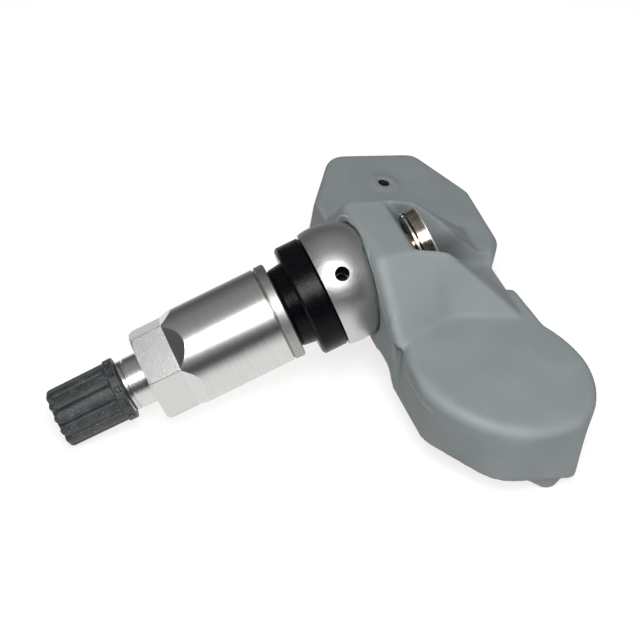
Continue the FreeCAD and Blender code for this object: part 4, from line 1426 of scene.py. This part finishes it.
@dataclass(frozen=True)
class Fixing:
    """Screw with a broad head and the thin serrated washer under it."""

    line: Line
    head_front: float = -12.8
    side_front: float = -13.2
    side_back: float = -13.9
    head_back: float = -14.3
    head_radius: float = 4.75
    head_least: float = 3.5
    front_bevel: float = 0.12
    back_bevel: float = 0.05
    crown_rise: float = 0.12
    crown_inset: float = 0.22
    teeth_start: float = 4.85
    washer_shrink: float = 0.9
    washer_back: float = 0.45
    slack: float = 0.02

    def build(self) -> None:
        """Make the two pieces."""
        screw = merged_copy("fixing_screw")
        for vertex in screw.verts:
            self._widen(vertex)
        washer = merged_copy("lock_washer")
        for vertex in washer.verts:
            self._flatten(vertex)
        # the screw head's back is painted bright as a highlight from 14.1 mm behind the ball
        steel = PlatedSteel(self.line, "screw_nickel", painted_highlight=(14.1, 14.2)).material()
        bright = PlatedSteel(self.line, "washer_nickel", (0.5, 0.48, 0.44), (0.92, 0.9, 0.86), 0.3)
        finished(screw, "screw_body", steel, "screw", "steel", "fixing_screw", crease_deg=25.0)
        finished(washer, "serrated_washer", bright.material(), "screw_carriage", "steel", "lock_washer",
                 crease_deg=25.0)

    def _widen(self, vertex: bmesh.types.BMVert) -> None:
        """Narrow the bevels of the head and raise a low crown on its back.

        Args:
            vertex: Vertex of the screw.
        """
        spot = self.line.local(vertex.co)
        radius = math.hypot(spot.x, spot.y)
        if radius < self.head_least or spot.z > self.head_front + self.slack / 2:
            return
        if abs(spot.z - self.side_front) < self.slack:
            spot.z = self.head_front + self.front_bevel
        elif abs(spot.z - self.side_back) < self.slack:
            spot.z = self.head_back + self.back_bevel
        elif abs(spot.z - self.head_back) < self.slack:
            inward = (self.head_radius - self.crown_inset) / radius
            spot.x *= inward
            spot.y *= inward
            spot.z = self.head_back - self.crown_rise
        vertex.co = self.line.world(spot)

    def _flatten(self, vertex: bmesh.types.BMVert) -> None:
        """Draw the washer's teeth in and its back to the front, as thin as the photograph's.

        Args:
            vertex: Vertex of the washer.
        """
        spot = self.line.local(vertex.co)
        if math.hypot(spot.x, spot.y) > self.teeth_start:
            spot.x *= self.washer_shrink
            spot.y *= self.washer_shrink
        if spot.z < self.head_front + self.slack / 2:
            spot.z = self.head_front + self.washer_back
        vertex.co = self.line.world(spot)


@dataclass(frozen=True)
class Wardrobe:
    """Finishes of the nodes that keep their own shape."""

    valve: Line
    housing: Line
    steel: Colour = (0.62, 0.61, 0.59)

    def dress(self) -> None:
        """Put the finishes on the nodes."""
        for name, material in self._finishes().items():
            mesh = FRAME["nodes"][name].data
            mesh.materials.clear()
            mesh.materials.append(material)
            LOG.info("dressed %s", name)

    def _finishes(self) -> dict[str, bpy.types.Material]:
        """Make the finishes.

        Returns:
            Finish of each node.
        """
        rubber = Rubber(self.valve).material()
        brass = Brass(self.valve).material()
        leads = PlatedSteel(self.housing, "nickel_sheet", self.steel, (0.80, 0.79, 0.76), 0.24,
                            (4.0, 0.4, 0.4)).material()
        spring = PlatedSteel(self.valve, "spring_wire", self.steel, (0.8, 0.8, 0.8))
        chip = Grained(self.housing, "chip_package", (0.012, 0.012, 0.014), (0.03, 0.03, 0.034), 0.5)
        # painted shade: the membrane is near black to stand in for the shade inside the port
        membrane = Grained(self.housing, "membrane", (0.03, 0.03, 0.03), (0.06, 0.06, 0.06), 0.85,
                           grain_per_mm=12.0, depth_mm=0.02)
        ferrite = Grained(self.housing, "ferrite", (0.03, 0.03, 0.033), (0.07, 0.07, 0.075), 0.55,
                          grain_per_mm=4.0)
        return {
            "collar_nut": NutAluminium(self.valve).material(),
            "nut_washer": WasherAluminium(self.valve).material(),
            "rubber_grommet": rubber,
            "cap_seal": rubber,
            "core_gasket": rubber,
            "core_seal": rubber,
            "core_body": brass,
            "core_pin": brass,
            "core_spring": spring.material(),
            "circuit_board": Laminate(self.housing).material(),
            "battery_cell": leads,
            "battery_tab_plus": leads,
            "battery_tab_minus": leads,
            "crystal_can": leads,
            "sensor_chip": chip.material(),
            "port_seal": Rubber(self.housing, "seal_rubber").material(),
            "port_filter": membrane.material(),
            "antenna_core": ferrite.material(),
            "antenna_winding": WoundCopper(self.housing).material(),
        }


def main() -> None:
    """Build the studio and every piece."""
    logging.basicConfig(level=logging.INFO)
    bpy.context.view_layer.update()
    bpy.context.scene.view_settings.view_transform = "Standard"
    joints = {joint["name"]: joint for joint in FRAME["joints"]}
    ball = Vector(joints["valve_tilt"]["pos_m"])
    ahead = Vector(joints["nut_travel"]["axis"]).normalized()
    valve = Line.of_valve(ball, ahead)
    housing = Line.of_housing(ball, ahead, SWIVEL_DEG)
    slope = math.degrees(math.atan2(-ahead.z, -ahead.x))
    Studio(ball, PHOTO_SLOPE_DEG - slope).build()
    Wardrobe(valve, housing).dress()
    for piece in (Housing(housing), Cap(valve), Stem(valve), Fixing(valve)):
        piece.build()


if __name__ == "__main__":
    main()
